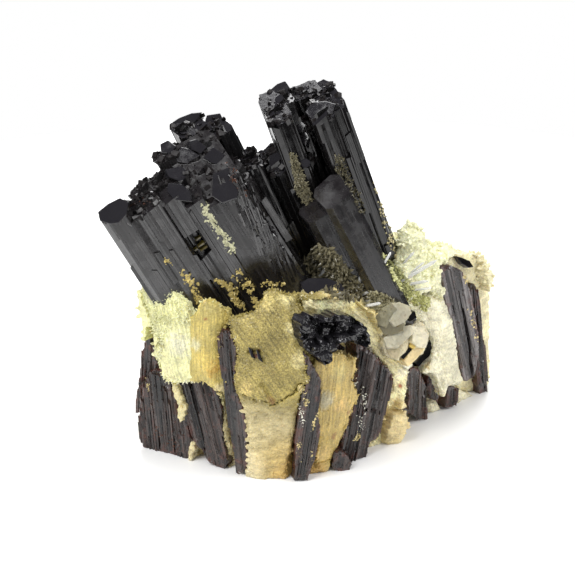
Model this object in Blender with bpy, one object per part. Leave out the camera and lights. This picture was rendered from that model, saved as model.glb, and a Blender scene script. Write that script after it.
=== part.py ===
"""Hubnerite crystals standing in a quartz matrix: a natural cabinet specimen, about 45 mm across.

Black prisms of hubnerite lean up and to the left out of a lump of pale yellow quartz. Broken blades of the
same mineral stand round the flanks of the lump, and the quartz is cut off flat where it rests.
Sizes below are in millimetres and are turned into metres as the meshes are built.
+Z is up, the side that is looked at faces -Y, and the origin is at the middle of the foot of the box.
"""
import math
import random

import bmesh
import bpy
from mathutils import Matrix, Vector, noise

MM = 0.001

# The clearance kept between a crystal and the socket that it leaves in the quartz.
SOCKET_GAP = 0.55
# From the axis that the sizes are measured from to the middle of the finished box.
TO_BOX_MIDDLE = Vector((-1.48, -0.93, 0.0))
# The direction in which the front faces of the crystals are turned away from the viewer.
LOOK = Vector((0.0, 0.9135, -0.4067))

# Each finish is (colour, roughness, metallic).
HUBNERITE = ((0.018, 0.016, 0.017, 1.0), 0.22, 0.3)
CLEAVED_HUBNERITE = ((0.055, 0.036, 0.036, 1.0), 0.5, 0.1)
SUGARY_QUARTZ = ((0.78, 0.66, 0.36, 1.0), 0.55, 0.0)


def clear_scene():
    for obj in list(bpy.data.objects):
        bpy.data.objects.remove(obj)


def give_finish(obj, finish):
    """Gives an object a material of its own."""
    colour, roughness, metallic = finish
    mat = bpy.data.materials.new(obj.name)
    mat.use_nodes = True
    shader = mat.node_tree.nodes["Principled BSDF"]
    shader.inputs["Base Color"].default_value = colour
    shader.inputs["Roughness"].default_value = roughness
    shader.inputs["Metallic"].default_value = metallic
    mat.diffuse_color = colour
    obj.data.materials.clear()
    obj.data.materials.append(mat)


def object_from(name, bm):
    """Makes an object of a bmesh whose points are in millimetres."""
    bmesh.ops.recalc_face_normals(bm, faces=bm.faces)
    bmesh.ops.scale(bm, vec=(MM, MM, MM), verts=bm.verts)
    mesh = bpy.data.meshes.new(name)
    bm.to_mesh(mesh)
    bm.free()
    obj = bpy.data.objects.new(name, mesh)
    bpy.context.scene.collection.objects.link(obj)
    return obj


def evaluated_mesh(obj):
    """The object's mesh with its modifiers applied."""
    graph = bpy.context.evaluated_depsgraph_get()
    return bpy.data.meshes.new_from_object(obj.evaluated_get(graph))


def remove(objects):
    for obj in objects:
        bpy.data.objects.remove(obj)


# Crystal growth: every crystal is a bundle of parallel columns that ended at different heights.


class Stand:
    """The place and lean of one crystal: u runs across its front, w runs away from the viewer, h along it."""

    def __init__(self, foot, lean, away=LOOK):
        self.foot = Vector(foot)
        self.along = Vector(lean).normalized()
        back = Vector(away)
        self.back = (back - back.dot(self.along) * self.along).normalized()
        self.across = self.back.cross(self.along).normalized()

    def matrix(self):
        turn = Matrix((self.across, self.back, self.along)).transposed()
        return Matrix.Translation(self.foot) @ turn.to_4x4()


def slice_off(bm, point, normal):
    """Cuts away what lies beyond a plane and closes the cut with one flat face."""
    geometry = bm.verts[:] + bm.edges[:] + bm.faces[:]
    cut = bmesh.ops.bisect_plane(bm, geom=geometry, plane_co=point, plane_no=normal, clear_outer=True)
    rim = [part for part in cut["geom_cut"] if isinstance(part, bmesh.types.BMEdge)]
    if rim:
        bmesh.ops.contextual_create(bm, geom=rim)


def section(half_u, half_w, corner):
    """A hubnerite cross-section: a flattened six-sided outline with its four corners cut back."""
    cut_u = corner * half_u
    cut_w = corner * half_w
    return [
        (-half_u, -half_w + cut_w),
        (-half_u + cut_u, -half_w),
        (half_u - cut_u, -half_w),
        (half_u, -half_w + cut_w),
        (half_u, half_w - cut_w),
        (half_u - cut_u, half_w),
        (-half_u + cut_u, half_w),
        (-half_u, half_w - cut_w),
    ]


def column(u, w, half_u, half_w, foot, top, dip_u=0.0, dip_w=0.0, corner=0.35, spin=0.0):
    """One column of a bundle. Its top face dips by dip_u and dip_w, each the rise over run across u or w."""
    bm = bmesh.new()
    overlong = top + half_u * abs(dip_u) + half_w * abs(dip_w) + 1.0
    turn = Matrix.Rotation(math.radians(spin), 2)
    ring = []
    for point in section(half_u, half_w, corner):
        turned = turn @ Vector(point)
        ring.append(bm.verts.new((u + turned.x, w + turned.y, foot)))
    base = bm.faces.new(ring)
    risen = bmesh.ops.extrude_face_region(bm, geom=[base])
    raised = [part for part in risen["geom"] if isinstance(part, bmesh.types.BMVert)]
    bmesh.ops.translate(bm, vec=(0, 0, overlong - foot), verts=raised)
    bmesh.ops.recalc_face_normals(bm, faces=bm.faces)
    slice_off(bm, (u, w, top), (-dip_u, -dip_w, 1.0))
    return bm


def fuse(name, parts, stand):
    """Joins the columns of a bundle into one solid in its place, cut off level with the floor."""
    pieces = []
    for part in parts:
        part.transform(stand.matrix())
        pieces.append(object_from("column", part))
    body = unite(pieces, stand.across)
    bm = bmesh.new()
    bm.from_mesh(body.data)
    slice_off(bm, (0, 0, 0), (0, 0, -1))
    mesh = bpy.data.meshes.new(name)
    bm.to_mesh(mesh)
    bm.free()
    remove([body])
    return solid_from_mesh(name, mesh)


def grown_together(name, crystals):
    """Several finished crystals joined where they run into one another."""
    body = unite(crystals, Vector((1, 0, 0)))
    mesh = body.data.copy()
    remove([body])
    return solid_from_mesh(name, mesh)


def unite(pieces, sideways):
    """One solid of all the pieces. Where that leaves an edge open, the pieces are moved apart by a hair."""
    body = pieces[0]
    bundle = bpy.data.collections.new("bundle")
    for piece in pieces[1:]:
        bundle.objects.link(piece)
    union = body.modifiers.new("union", "BOOLEAN")
    union.operation = "UNION"
    union.operand_type = "COLLECTION"
    union.collection = bundle
    union.solver = "EXACT"
    for attempt in range(8):
        mesh = in_triangles(evaluated_mesh(body))
        if is_closed(mesh):
            break
        for i, piece in enumerate(pieces[1:]):
            piece.location = sideways * ((attempt + 1) * (i % 7 - 3) * 0.004 * MM)
    body.modifiers.clear()
    body.data = mesh
    remove(pieces[1:])
    bpy.data.collections.remove(bundle)
    return body


def volume_of(mesh):
    bm = bmesh.new()
    bm.from_mesh(mesh)
    volume = bm.calc_volume()
    bm.free()
    return volume


def in_triangles(mesh):
    bm = bmesh.new()
    bm.from_mesh(mesh)
    bmesh.ops.triangulate(bm, faces=bm.faces)
    bm.to_mesh(mesh)
    bm.free()
    return mesh


def bodies_of(bm):
    """The faces of a mesh in groups that share edges, with the largest group first."""
    bodies = []
    unseen = set(bm.faces)
    while unseen:
        start = unseen.pop()
        body = [start]
        queue = [start]
        while queue:
            for edge in queue.pop().edges:
                for face in edge.link_faces:
                    if face in unseen:
                        unseen.remove(face)
                        body.append(face)
                        queue.append(face)
        bodies.append(body)
    return sorted(bodies, key=len, reverse=True)


def is_closed(mesh):
    bm = bmesh.new()
    bm.from_mesh(mesh)
    closed = all(len(edge.link_faces) == 2 for edge in bm.edges)
    bm.free()
    return closed


def is_one_closed_body(mesh):
    bm = bmesh.new()
    bm.from_mesh(mesh)
    single = len(bodies_of(bm)) == 1
    bm.free()
    return single and is_closed(mesh)


def flatten_faces(obj):
    """Takes out the splits that the unions left inside flat faces, if the solid stays closed without them."""
    bm = bmesh.new()
    bm.from_mesh(obj.data)
    bmesh.ops.dissolve_limit(bm, angle_limit=math.radians(0.3), verts=bm.verts, edges=bm.edges)
    bmesh.ops.triangulate(bm, faces=bm.faces)
    clean = obj.data.copy()
    bm.to_mesh(clean)
    bm.free()
    before = volume_of(obj.data)
    if is_one_closed_body(clean) and abs(volume_of(clean) - before) < 0.0005 * before:
        obj.data = clean


def solid_from_mesh(name, mesh):
    """Keeps the largest closed body of a mesh, as one object made of triangles."""
    bm = bmesh.new()
    bm.from_mesh(mesh)
    bmesh.ops.triangulate(bm, faces=bm.faces)
    for body in bodies_of(bm)[1:]:
        bmesh.ops.delete(bm, geom=body, context="FACES")
    bm.to_mesh(mesh)
    bm.free()
    mesh.name = name
    obj = bpy.data.objects.new(name, mesh)
    bpy.context.scene.collection.objects.link(obj)
    return obj


def growth_steps(rng, columns, count, foot, size, rise):
    """Small columns over the tops of the large ones: the broken, stepped growth that ends a crystal."""
    steps = []
    for _ in range(count):
        u, w, half_u, half_w, top, dip_u, dip_w = rng.choice(columns)[:7]
        step_u = rng.uniform(-0.9, 0.9) * half_u
        step_w = rng.uniform(-0.9, 0.9) * half_w
        lid = top + step_u * dip_u + step_w * dip_w + rng.uniform(*rise)
        half = rng.uniform(*size)
        tilt = rng.uniform(-0.5, 0.5)
        lean = rng.uniform(-0.7, 0.2)
        spin = rng.uniform(0, 90)
        deep = half * rng.uniform(0.6, 1.1)
        start = foot + rng.uniform(0.0, 1.5)
        steps.append(column(u + step_u, w + step_w, half, deep, start, lid, tilt, lean, 0.3, spin))
    return steps


def flank_ribs(rng, columns, count, foot, half, shortfall):
    """Narrow columns set into the flanks of the large ones: the lengthwise ribs of the prism faces."""
    ribs = []
    for _ in range(count):
        u, w, half_u, half_w, top, dip_u, dip_w = rng.choice(columns)[:7]
        angle = rng.uniform(0, 2 * math.pi)
        rib_u = max(-0.86, min(0.86, 1.25 * math.cos(angle))) * half_u
        rib_w = max(-0.9, min(0.9, 1.25 * math.sin(angle))) * half_w
        lid = top + rib_u * dip_u + rib_w * dip_w - rng.uniform(*shortfall)
        wide = rng.uniform(*half)
        spin = rng.uniform(-12, 12)
        start = foot + rng.uniform(0.1, 0.6)
        ribs.append(column(u + rib_u, w + rib_w, wide, wide * 0.8, start, lid, 0.3, -0.4, 0.25, spin))
    return ribs


def crystal(name, stand, columns, foot, steps, ribs, seed):
    """A bundle of columns with its stepped tops and flank ribs, each given as (count, size, height)."""
    rng = random.Random(seed)
    parts = []
    for u, w, half_u, half_w, top, dip_u, dip_w, corner in columns:
        # Each column is turned and ended a little apart from its neighbours, as grown ones are.
        spin = rng.uniform(-1.5, 1.5)
        start = foot - rng.uniform(0.0, 0.6)
        parts.append(column(u, w, half_u, half_w, start, top, dip_u, dip_w, corner, spin))
    if steps:
        parts += growth_steps(rng, columns, steps[0], foot + 2.0, steps[1], steps[2])
    if ribs:
        parts += flank_ribs(rng, columns, ribs[0], foot, ribs[1], ribs[2])
    return fuse(name, parts, stand)


# The upright crystals. A column is (u, w, half_u, half_w, top, dip_u, dip_w, corner).

MAIN_STAND = Stand((-7.6, -1.0, 18.5), (-0.557, -0.08, 1.0))
MAIN_COLUMNS = [
    (-5.35, -2.4, 1.75, 2.4, 16.2, 0.05, -0.25, 0.45),
    (-5.10, 0.6, 1.70, 2.0, 14.0, 0.10, -0.20, 0.35),
    (-3.40, -1.6, 1.40, 3.2, 14.8, 0.10, -0.05, 0.25),
    (-1.45, -1.2, 1.60, 3.8, 15.2, 0.15, 0.05, 0.20),
    (0.70, -1.0, 1.30, 3.6, 14.8, 0.10, 0.20, 0.25),
    (2.60, -0.9, 1.70, 4.1, 14.4, 0.05, 0.38, 0.25),
    (5.90, -1.0, 3.00, 4.2, 14.0, -0.08, 0.62, 0.22),
    (8.10, -0.4, 1.60, 3.3, 11.9, -0.35, 0.25, 0.45),
    (-1.60, 3.2, 2.80, 2.2, 13.4, 0.15, -0.10, 0.35),
    (3.40, 3.4, 1.90, 2.2, 16.2, -0.10, -0.12, 0.35),
    (6.70, 3.0, 2.20, 2.3, 14.6, -0.25, -0.10, 0.40),
]

TALL_STAND = Stand((13.0, 6.0, 16.0), (-0.33, -0.08, 1.0))
TALL_COLUMNS = [
    (-6.50, -1.2, 1.35, 2.9, 27.3, -0.10, 0.30, 0.42),
    (-5.40, 1.2, 1.20, 1.9, 27.2, -0.10, 0.10, 0.30),
    (-3.30, 2.3, 2.50, 1.4, 26.4, -0.05, 0.20, 0.25),
    (-1.75, -1.9, 1.45, 1.7, 25.3, 0.10, 0.45, 0.40),
    (-0.60, 0.3, 1.50, 3.3, 25.6, 0.05, 0.20, 0.35),
    (-4.40, -0.4, 0.75, 0.9, 23.4, 0.00, 0.90, 0.35),
    (-5.05, -1.8, 0.42, 0.42, 20.0, 0.00, 0.60, 0.45),
]

GEM_STAND = Stand((12.6, -0.3, 14.0), (-0.457, -0.08, 1.0))
GEM_COLUMNS = [
    (0.10, -0.5, 1.90, 1.9, 18.8, 0.10, 0.75, 0.55),
    (-2.55, 0.1, 1.60, 1.6, 17.4, -0.05, 0.55, 0.45),
]

BACK_LEFT_STAND = Stand((-2.0, 6.0, 16.0), (-0.44, -0.05, 1.0))
BACK_LEFT_COLUMNS = [
    (-1.15, -0.3, 0.95, 2.2, 22.3, -0.15, 0.10, 0.40),
    (0.50, 0.3, 1.20, 2.2, 21.5, 0.05, 0.15, 0.30),
    (2.55, -0.5, 1.30, 2.1, 20.9, -0.05, 0.18, 0.40),
]

REAR_STAND = Stand((3.0, 4.4, 16.0), (-0.40, -0.05, 1.0))
REAR_COLUMNS = [
    (-0.70, -0.6, 1.20, 2.2, 18.6, -0.10, 0.20, 0.35),
    (0.75, 0.4, 1.10, 2.3, 17.2, -0.05, 0.20, 0.30),
    (2.05, -0.9, 1.20, 2.0, 17.4, 0.25, 0.55, 0.40),
]

POCKET_STAND = Stand((5.5, -3.8, 17.2), (-0.22, -0.12, 1.0))
POCKET_COLUMNS = [
    (-0.4, 0.0, 1.5, 0.9, 3.0, -0.12, 0.10, 0.35),
    (0.9, 0.1, 0.7, 0.8, 2.3, -0.60, 0.05, 0.30),
]

# name: (stand, columns, foot, stepped tops, flank ribs, seed)
UPRIGHTS = {
    "main": (MAIN_STAND, MAIN_COLUMNS, -5.0, (22, (0.45, 0.95), (-0.3, 0.5)),
             (16, (0.3, 0.6), (0.4, 7.0)), 3),
    "back_left": (BACK_LEFT_STAND, BACK_LEFT_COLUMNS, -4.0, (8, (0.35, 0.65), (-0.2, 0.4)),
                  (6, (0.25, 0.45), (0.4, 6.0)), 2),
    "rear": (REAR_STAND, REAR_COLUMNS, -4.0, (9, (0.35, 0.7), (-0.3, 0.5)),
             (4, (0.25, 0.45), (0.4, 5.0)), 4),
    "tall": (TALL_STAND, TALL_COLUMNS, -6.0, (12, (0.35, 0.7), (-0.2, 0.4)),
             (12, (0.25, 0.5), (0.4, 9.0)), 8),
    "gem": (GEM_STAND, GEM_COLUMNS, -3.0, None, None, 5),
    "pocket": (POCKET_STAND, POCKET_COLUMNS, -1.5, None, (3, (0.25, 0.4), (0.3, 2.0)), 6),
}


def make_uprights():
    """The large crystals and their stands. Four of them grew into one another and are one solid."""
    made = {}
    for name, (stand, columns, foot, steps, ribs, seed) in UPRIGHTS.items():
        made[name] = crystal(name, stand, columns, foot, steps, ribs, seed)
    group = grown_together("crystal_group", [made[name] for name in ("main", "back_left", "rear", "tall")])
    made["gem"].name = "gem_crystal"
    made["pocket"].name = "pocket_crystal"
    return {group: MAIN_STAND, made["gem"]: GEM_STAND, made["pocket"]: POCKET_STAND}


# The broken blades round the flanks. Their fronts are turned square to the flank that they stand in.

LEFT_FLANK = Vector((0.498, 0.867, 0.0))
FRONT_FLANK = Vector((-0.25, 0.968, 0.0))
RIGHT_FLANK = Vector((-0.60, 0.80, 0.0))
FAR_RIGHT_FLANK = Vector((-0.673, 0.740, 0.0))
BACK_FLANK = Vector((0.0, -1.0, 0.0))
BACK_RIGHT_FLANK = Vector((-0.80, -0.60, 0.0))
BACK_LEFT_FLANK = Vector((0.75, -0.66, 0.0))
LEFT_END = Vector((0.93, 0.37, 0.0))

# name: (foot, lean, flank, columns as in a crystal, seed)
BLADES = {
    "blade_left_edge": ((-15.5, -2.6, 8.6), (0.02, 0.0, 1.0), LEFT_FLANK,
                        [(0.0, 0.0, 0.6, 0.7, 6.0, 0.5, 0.2, 0.2)], 11),
    "blade_left": ((-13.9, -4.9, 0.0), (-0.08, 0.10, 1.0), LEFT_FLANK,
                   [(-1.2, 0.2, 1.5, 1.1, 8.4, 0.15, 0.0, 0.2),
                    (0.9, 0.2, 1.2, 1.1, 9.8, -0.3, 0.0, 0.2)], 12),
    "blade_left_inner": ((-8.7, -7.9, 0.0), (-0.24, 0.16, 1.0), LEFT_FLANK,
                         [(-0.6, 0.2, 0.9, 1.1, 10.6, 0.2, 0.0, 0.2),
                          (0.7, 0.0, 1.0, 1.2, 10.4, -0.2, 0.0, 0.2)], 13),
    "blade_narrow": ((-5.3, -10.5, 0.0), (-0.09, 0.07, 1.0), LEFT_FLANK,
                     [(0.0, 0.0, 0.8, 0.9, 17.0, 0.7, 0.1, 0.25)], 14),
    "blade_front": ((1.3, -12.3, 0.0), (0.15, 0.08, 1.0), FRONT_FLANK,
                    [(-0.5, 0.1, 0.65, 0.9, 10.6, 0.4, 0.0, 0.2),
                     (0.5, 0.0, 0.7, 1.0, 11.4, -0.5, 0.0, 0.2)], 15),
    "blade_right": ((8.3, -5.9, 1.0), (0.17, 0.19, 1.0), RIGHT_FLANK,
                    [(-0.9, 0.0, 1.4, 1.2, 10.9, -0.35, 0.0, 0.2),
                     (1.1, 0.1, 1.2, 1.1, 10.3, -0.75, 0.0, 0.2)], 16),
    "blade_right_foot": ((5.9, -9.5, 0.0), (0.10, 0.10, 1.0), FRONT_FLANK,
                         [(0.0, 0.0, 1.2, 0.9, 3.0, 0.3, 0.0, 0.25)], 17),
    "broken_crystal": ((5.0, -8.8, 13.2), (0.12, 0.12, 1.0), RIGHT_FLANK,
                       [(-1.6, 0.2, 1.4, 1.5, 5.3, 0.3, 0.5, 0.3),
                        (0.6, 0.4, 1.6, 1.6, 5.9, -0.2, 0.7, 0.3),
                        (2.6, 0.2, 1.2, 1.4, 4.7, -0.5, 0.4, 0.3)], 18),
    "blade_low_right": ((15.3, 3.4, 0.0), (0.02, 0.0, 1.0), FAR_RIGHT_FLANK,
                        [(-0.5, 0.1, 0.9, 1.1, 8.6, 0.5, 0.0, 0.25),
                         (0.7, 0.2, 0.8, 1.0, 7.4, -0.6, 0.0, 0.25)], 19),
    "blade_low_splinter": ((17.75, 5.45, 1.8), (-0.12, -0.05, 1.0), FAR_RIGHT_FLANK,
                           [(0.0, 0.0, 0.45, 0.6, 5.6, 0.8, 0.0, 0.25)], 20),
    "blade_low_stub": ((19.0, 6.4, 0.0), (0.03, 0.0, 1.0), FAR_RIGHT_FLANK,
                       [(0.0, 0.0, 0.9, 0.8, 3.0, 0.5, 0.0, 0.25)], 21),
    "blade_far_right": ((21.3, 8.7, 2.6), (-0.20, -0.16, 1.0), FAR_RIGHT_FLANK,
                        [(-0.75, 0.0, 0.9, 1.0, 15.0, -0.25, 0.1, 0.2),
                         (0.45, 0.2, 0.7, 0.9, 14.0, -0.5, 0.0, 0.2)], 22),
    "blade_far_right_outer": ((22.9, 10.6, 0.4), (-0.10, -0.06, 1.0), FAR_RIGHT_FLANK,
                              [(0.0, 0.0, 0.6, 0.8, 15.2, 0.4, 0.0, 0.2)], 23),
    "blade_back_right": ((16.8, 13.0, 0.0), (-0.12, -0.12, 1.0), BACK_RIGHT_FLANK,
                         [(-0.8, 0.0, 1.3, 1.1, 13.6, 0.3, 0.0, 0.2),
                          (1.0, 0.2, 1.1, 1.0, 10.9, -0.4, 0.0, 0.2)], 24),
    "blade_back": ((5.2, 14.4, 0.0), (0.05, -0.10, 1.0), BACK_FLANK,
                   [(-1.0, 0.1, 1.4, 1.2, 15.4, 0.3, 0.0, 0.2),
                    (0.9, 0.0, 1.2, 1.2, 17.0, -0.4, 0.0, 0.2)], 25),
    "blade_back_narrow": ((-0.6, 14.2, 0.6), (-0.08, -0.12, 1.0), BACK_FLANK,
                          [(0.0, 0.0, 0.8, 0.9, 12.2, 0.6, 0.0, 0.25)], 26),
    "blade_back_left": ((-8.4, 11.8, 0.0), (-0.16, -0.16, 1.0), BACK_LEFT_FLANK,
                        [(-1.0, 0.1, 1.3, 1.2, 15.2, 0.3, 0.0, 0.2),
                         (1.0, 0.0, 1.3, 1.1, 12.9, -0.3, 0.0, 0.2)], 27),
    "blade_back_left_low": ((-14.0, 6.6, 0.0), (-0.05, 0.0, 1.0), LEFT_END,
                            [(0.0, 0.0, 1.7, 1.1, 9.4, 0.35, 0.0, 0.2)], 28),
}
BLADE_RIBS = (3, (0.22, 0.42), (0.3, 5.0))
BROKEN_STEPS = (9, (0.4, 0.8), (-0.6, 0.5))


def make_blades():
    """The blades and their stands."""
    made = {}
    for name, (foot, lean, flank, columns, seed) in BLADES.items():
        steps = BROKEN_STEPS if name == "broken_crystal" else None
        stand = Stand(foot, lean, flank)
        made[crystal(name, stand, columns, 0.0, steps, BLADE_RIBS, seed)] = stand
    return made


# The quartz: a lump with a flat foot, thin crusts that stand off its front, and rounded masses on top.

# The outline of the foot, anticlockwise from the left.
FOOT_OUTLINE = [
    (-16.0, -2.2), (-12.0, -6.6), (-7.6, -8.8), (-4.6, -11.8), (0.6, -12.9), (3.0, -10.6), (6.0, -8.6),
    (9.4, -5.2), (11.8, 0.6), (15.2, 3.4), (19.5, 6.6), (22.9, 10.2), (21.6, 13.4), (14.0, 15.0),
    (4.0, 15.4), (-6.0, 13.8), (-13.0, 10.4), (-16.2, 4.0),
]
# How far the outline is drawn in at each height: (z, share of the outline, shift to the back).
LUMP_LEVELS = [(-1.0, 1.0, 0.0), (5.0, 1.01, 0.0), (11.0, 0.99, 0.1), (15.5, 0.93, 0.3), (18.6, 0.80, 0.6)]

# Rounded masses fused to the lump: (middle, half sizes).
LUMPS = [
    ((-7.0, -3.6, 15.0), (8.6, 4.6, 5.4)),
    ((0.4, -6.6, 14.0), (5.8, 4.2, 6.6)),
    ((13.6, 3.6, 17.0), (2.6, 3.0, 4.6)),
    ((14.3, 4.4, 20.0), (1.9, 2.3, 4.6)),
    ((16.9, 6.4, 17.2), (3.0, 3.0, 3.8)),
    ((21.6, 10.6, 14.4), (2.2, 2.4, 3.4)),
    ((11.6, 0.6, 13.0), (3.0, 3.0, 4.4)),
    ((12.4, -0.4, 9.6), (1.9, 1.9, 3.2)),
    ((-5.0, 8.6, 16.6), (6.0, 4.6, 4.6)),
    ((8.0, 11.4, 17.4), (5.6, 3.8, 4.6)),
    ((12.0, -2.6, 3.0), (1.5, 1.4, 3.6)),
]

# Crusts: open sheets given as quads from top to bottom, each row being points from left to right.
CRUSTS = [
    # The pale sheet on the left, which the needles grow on.
    [[(-16.9, -4.4, 20.2), (-13.6, -7.2, 20.4), (-10.6, -8.4, 18.6)],
     [(-16.2, -4.8, 14.0), (-13.4, -7.0, 13.6), (-10.5, -8.8, 13.4)],
     [(-14.9, -5.2, 8.9), (-12.6, -6.8, 9.0), (-10.4, -8.6, 9.0)]],
    # The smooth yellow wall beside it.
    [[(-10.6, -8.4, 18.8), (-9.0, -9.4, 19.6), (-7.3, -9.6, 19.2)],
     [(-10.5, -8.8, 13.6), (-8.9, -10.0, 13.8), (-7.2, -10.0, 13.8)],
     [(-10.6, -8.4, 9.2), (-8.8, -9.6, 9.0), (-7.0, -10.2, 8.4)]],
    # The broad sheet in the middle, folded along a line near its right edge.
    [[(-6.2, -9.2, 18.6), (-3.0, -9.2, 21.2), (0.9, -9.4, 21.4)],
     [(-6.0, -10.6, 14.0), (-2.6, -12.2, 14.6), (1.6, -12.2, 15.6)],
     [(-5.4, -11.4, 9.8), (-2.0, -13.4, 8.6), (1.2, -13.4, 10.8)]],
    # The amber sheet between the front blade and the right blade.
    [[(3.6, -10.4, 14.2), (5.4, -9.0, 14.0), (7.0, -7.6, 13.8)],
     [(3.6, -11.0, 7.0), (5.2, -9.6, 7.0), (6.8, -8.0, 7.4)],
     [(3.2, -10.8, 0.2), (4.4, -10.0, 0.2), (5.4, -8.8, 0.4)]],
    # The arch that sweeps over the broken crystal and down its right side.
    [[(1.9, -8.0, 20.6), (5.2, -6.6, 20.8), (8.6, -4.4, 18.4), (10.6, -2.4, 14.8), (12.6, -0.6, 11.0)],
     [(1.9, -9.6, 19.8), (5.0, -9.0, 19.8), (8.8, -6.0, 17.2), (11.2, -3.4, 13.6), (13.2, -1.6, 9.4)]],
]
CRUST_THICKNESS = 1.25
VOXEL = 0.45
QUARTZ_TRIANGLES = 4200


def lump_body():
    """The lump: its foot outline raised through the levels and capped."""
    bm = bmesh.new()
    middle = sum((Vector(point) for point in FOOT_OUTLINE), Vector((0, 0))) / len(FOOT_OUTLINE)
    rings = []
    for height, share, back in LUMP_LEVELS:
        ring = []
        for point in FOOT_OUTLINE:
            drawn = middle + (Vector(point) - middle) * share
            ring.append(bm.verts.new((drawn.x, drawn.y + back, height)))
        rings.append(ring)
    for low, high in zip(rings, rings[1:]):
        for i in range(len(low)):
            j = (i + 1) % len(low)
            bm.faces.new((low[i], low[j], high[j], high[i]))
    bm.faces.new(reversed(rings[0]))
    bm.faces.new(rings[-1])
    return bm


def rounded_mass(middle, half):
    bm = bmesh.new()
    bmesh.ops.create_icosphere(bm, subdivisions=3, radius=1.0)
    bmesh.ops.scale(bm, vec=half, verts=bm.verts)
    bmesh.ops.translate(bm, vec=middle, verts=bm.verts)
    return bm


def crust_sheet(rows):
    """A sheet through the rows of points, subdivided into a curve and given its thickness."""
    bm = bmesh.new()
    grid = [[bm.verts.new(point) for point in row] for row in rows]
    for upper, lower in zip(grid, grid[1:]):
        for i in range(len(upper) - 1):
            bm.faces.new((upper[i], lower[i], lower[i + 1], upper[i + 1]))
    bmesh.ops.subdivide_edges(bm, edges=bm.edges, cuts=4, use_grid_fill=True)
    obj = object_from("crust", bm)
    wall = obj.modifiers.new("wall", "SOLIDIFY")
    wall.thickness = CRUST_THICKNESS * MM
    wall.offset = 0.0
    return obj


def roughen(bm, amount, scale, seed):
    """Moves each point along its normal by smooth noise, so that the surface rolls and pits."""
    bm.normal_update()
    shift = Vector((seed * 7.3, seed * 3.1, seed * 5.7))
    for vert in bm.verts:
        place = vert.co / (scale * MM) + shift
        rise = noise.noise(place) + 0.5 * noise.noise(place * 2.3)
        vert.co += vert.normal * rise * amount * MM


def socket_cutter(obj):
    """A convex form a little larger than a crystal, which leaves its socket in the quartz."""
    gap = SOCKET_GAP * MM
    bm = bmesh.new()
    for vert in obj.data.vertices:
        for axis in range(3):
            for side in (-gap, gap):
                grown = vert.co.copy()
                grown[axis] += side
                bm.verts.new(grown)
    hull = bmesh.ops.convex_hull(bm, input=bm.verts)
    spare = hull["geom_interior"] + hull["geom_unused"]
    loose = {part for part in spare if isinstance(part, bmesh.types.BMVert)}
    bmesh.ops.delete(bm, geom=list(loose), context="VERTS")
    bmesh.ops.recalc_face_normals(bm, faces=bm.faces)
    mesh = bpy.data.meshes.new("socket")
    bm.to_mesh(mesh)
    bm.free()
    cutter = bpy.data.objects.new("socket", mesh)
    bpy.context.scene.collection.objects.link(cutter)
    return cutter


def joined(objects):
    """One object that holds the meshes of several, with their modifiers applied."""
    bm = bmesh.new()
    for obj in objects:
        mesh = evaluated_mesh(obj)
        bm.from_mesh(mesh)
        bpy.data.meshes.remove(mesh)
    remove(objects)
    mesh = bpy.data.meshes.new("joined")
    bm.to_mesh(mesh)
    bm.free()
    obj = bpy.data.objects.new("joined", mesh)
    bpy.context.scene.collection.objects.link(obj)
    return obj


def revoxel(obj, size):
    """The object's mesh wrapped again in one even skin, which closes it and drops what is inside."""
    skin = obj.modifiers.new("skin", "REMESH")
    skin.mode = "VOXEL"
    skin.voxel_size = size * MM
    mesh = evaluated_mesh(obj)
    obj.modifiers.clear()
    obj.data = mesh


def make_quartz(crystals):
    parts = [object_from("lump", lump_body())]
    parts += [object_from("mass", rounded_mass(middle, half)) for middle, half in LUMPS]
    parts += [crust_sheet(rows) for rows in CRUSTS]
    rough = joined(parts)
    revoxel(rough, VOXEL)

    bm = bmesh.new()
    bm.from_mesh(rough.data)
    roughen(bm, 0.55, 4.0, 1)
    roughen(bm, 0.22, 1.3, 2)
    bm.to_mesh(rough.data)
    bm.free()
    revoxel(rough, VOXEL * 0.9)
    sockets = joined([socket_cutter(obj) for obj in crystals])
    revoxel(sockets, VOXEL * 0.75)
    cut = rough.modifiers.new("sockets", "BOOLEAN")
    cut.operation = "DIFFERENCE"
    cut.object = sockets
    cut.solver = "EXACT"
    revoxel(rough, VOXEL * 0.75)

    thin = rough.modifiers.new("thin", "DECIMATE")
    faces = 2 * len(rough.data.polygons)
    for spare in range(0, 1200, 60):
        thin.ratio = (QUARTZ_TRIANGLES + spare) / faces
        mesh = evaluated_mesh(rough)
        bm = bmesh.new()
        bm.from_mesh(mesh)
        slice_off(bm, (0, 0, 0), (0, 0, -1))
        bmesh.ops.recalc_face_normals(bm, faces=bm.faces)
        bm.to_mesh(mesh)
        bm.free()
        quartz = solid_from_mesh("quartz_matrix", mesh)
        if is_one_closed_body(quartz.data):
            break
        remove([quartz])
    remove([rough, sockets])
    return quartz


def set_on_stand(obj, stand):
    """Gives a finished crystal its stand's place and lean, with its mesh in the crystal's own frame."""
    place = stand.matrix()
    place.translation *= MM
    obj.data.transform(place.inverted())
    obj.location = place.to_translation()
    obj.rotation_euler = place.to_euler()


def main():
    clear_scene()
    uprights = make_uprights()
    blades = make_blades()
    crystals = {**uprights, **blades}
    for obj in crystals:
        flatten_faces(obj)
    quartz = make_quartz(crystals)
    for obj, stand in crystals.items():
        set_on_stand(obj, stand)
        give_finish(obj, HUBNERITE if obj in uprights else CLEAVED_HUBNERITE)
    give_finish(quartz, SUGARY_QUARTZ)

    specimen = bpy.data.objects.new("specimen", None)
    bpy.context.scene.collection.objects.link(specimen)
    specimen.location = TO_BOX_MIDDLE * MM
    for obj in [*crystals, quartz]:
        obj.parent = specimen


main()
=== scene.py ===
"""The looks of a hubnerite specimen: black ribbed prisms and brown blades standing in sugary yellow quartz."""
import math
import random

import bpy
import numpy as np
from mathutils import Matrix, Vector, noise


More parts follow.
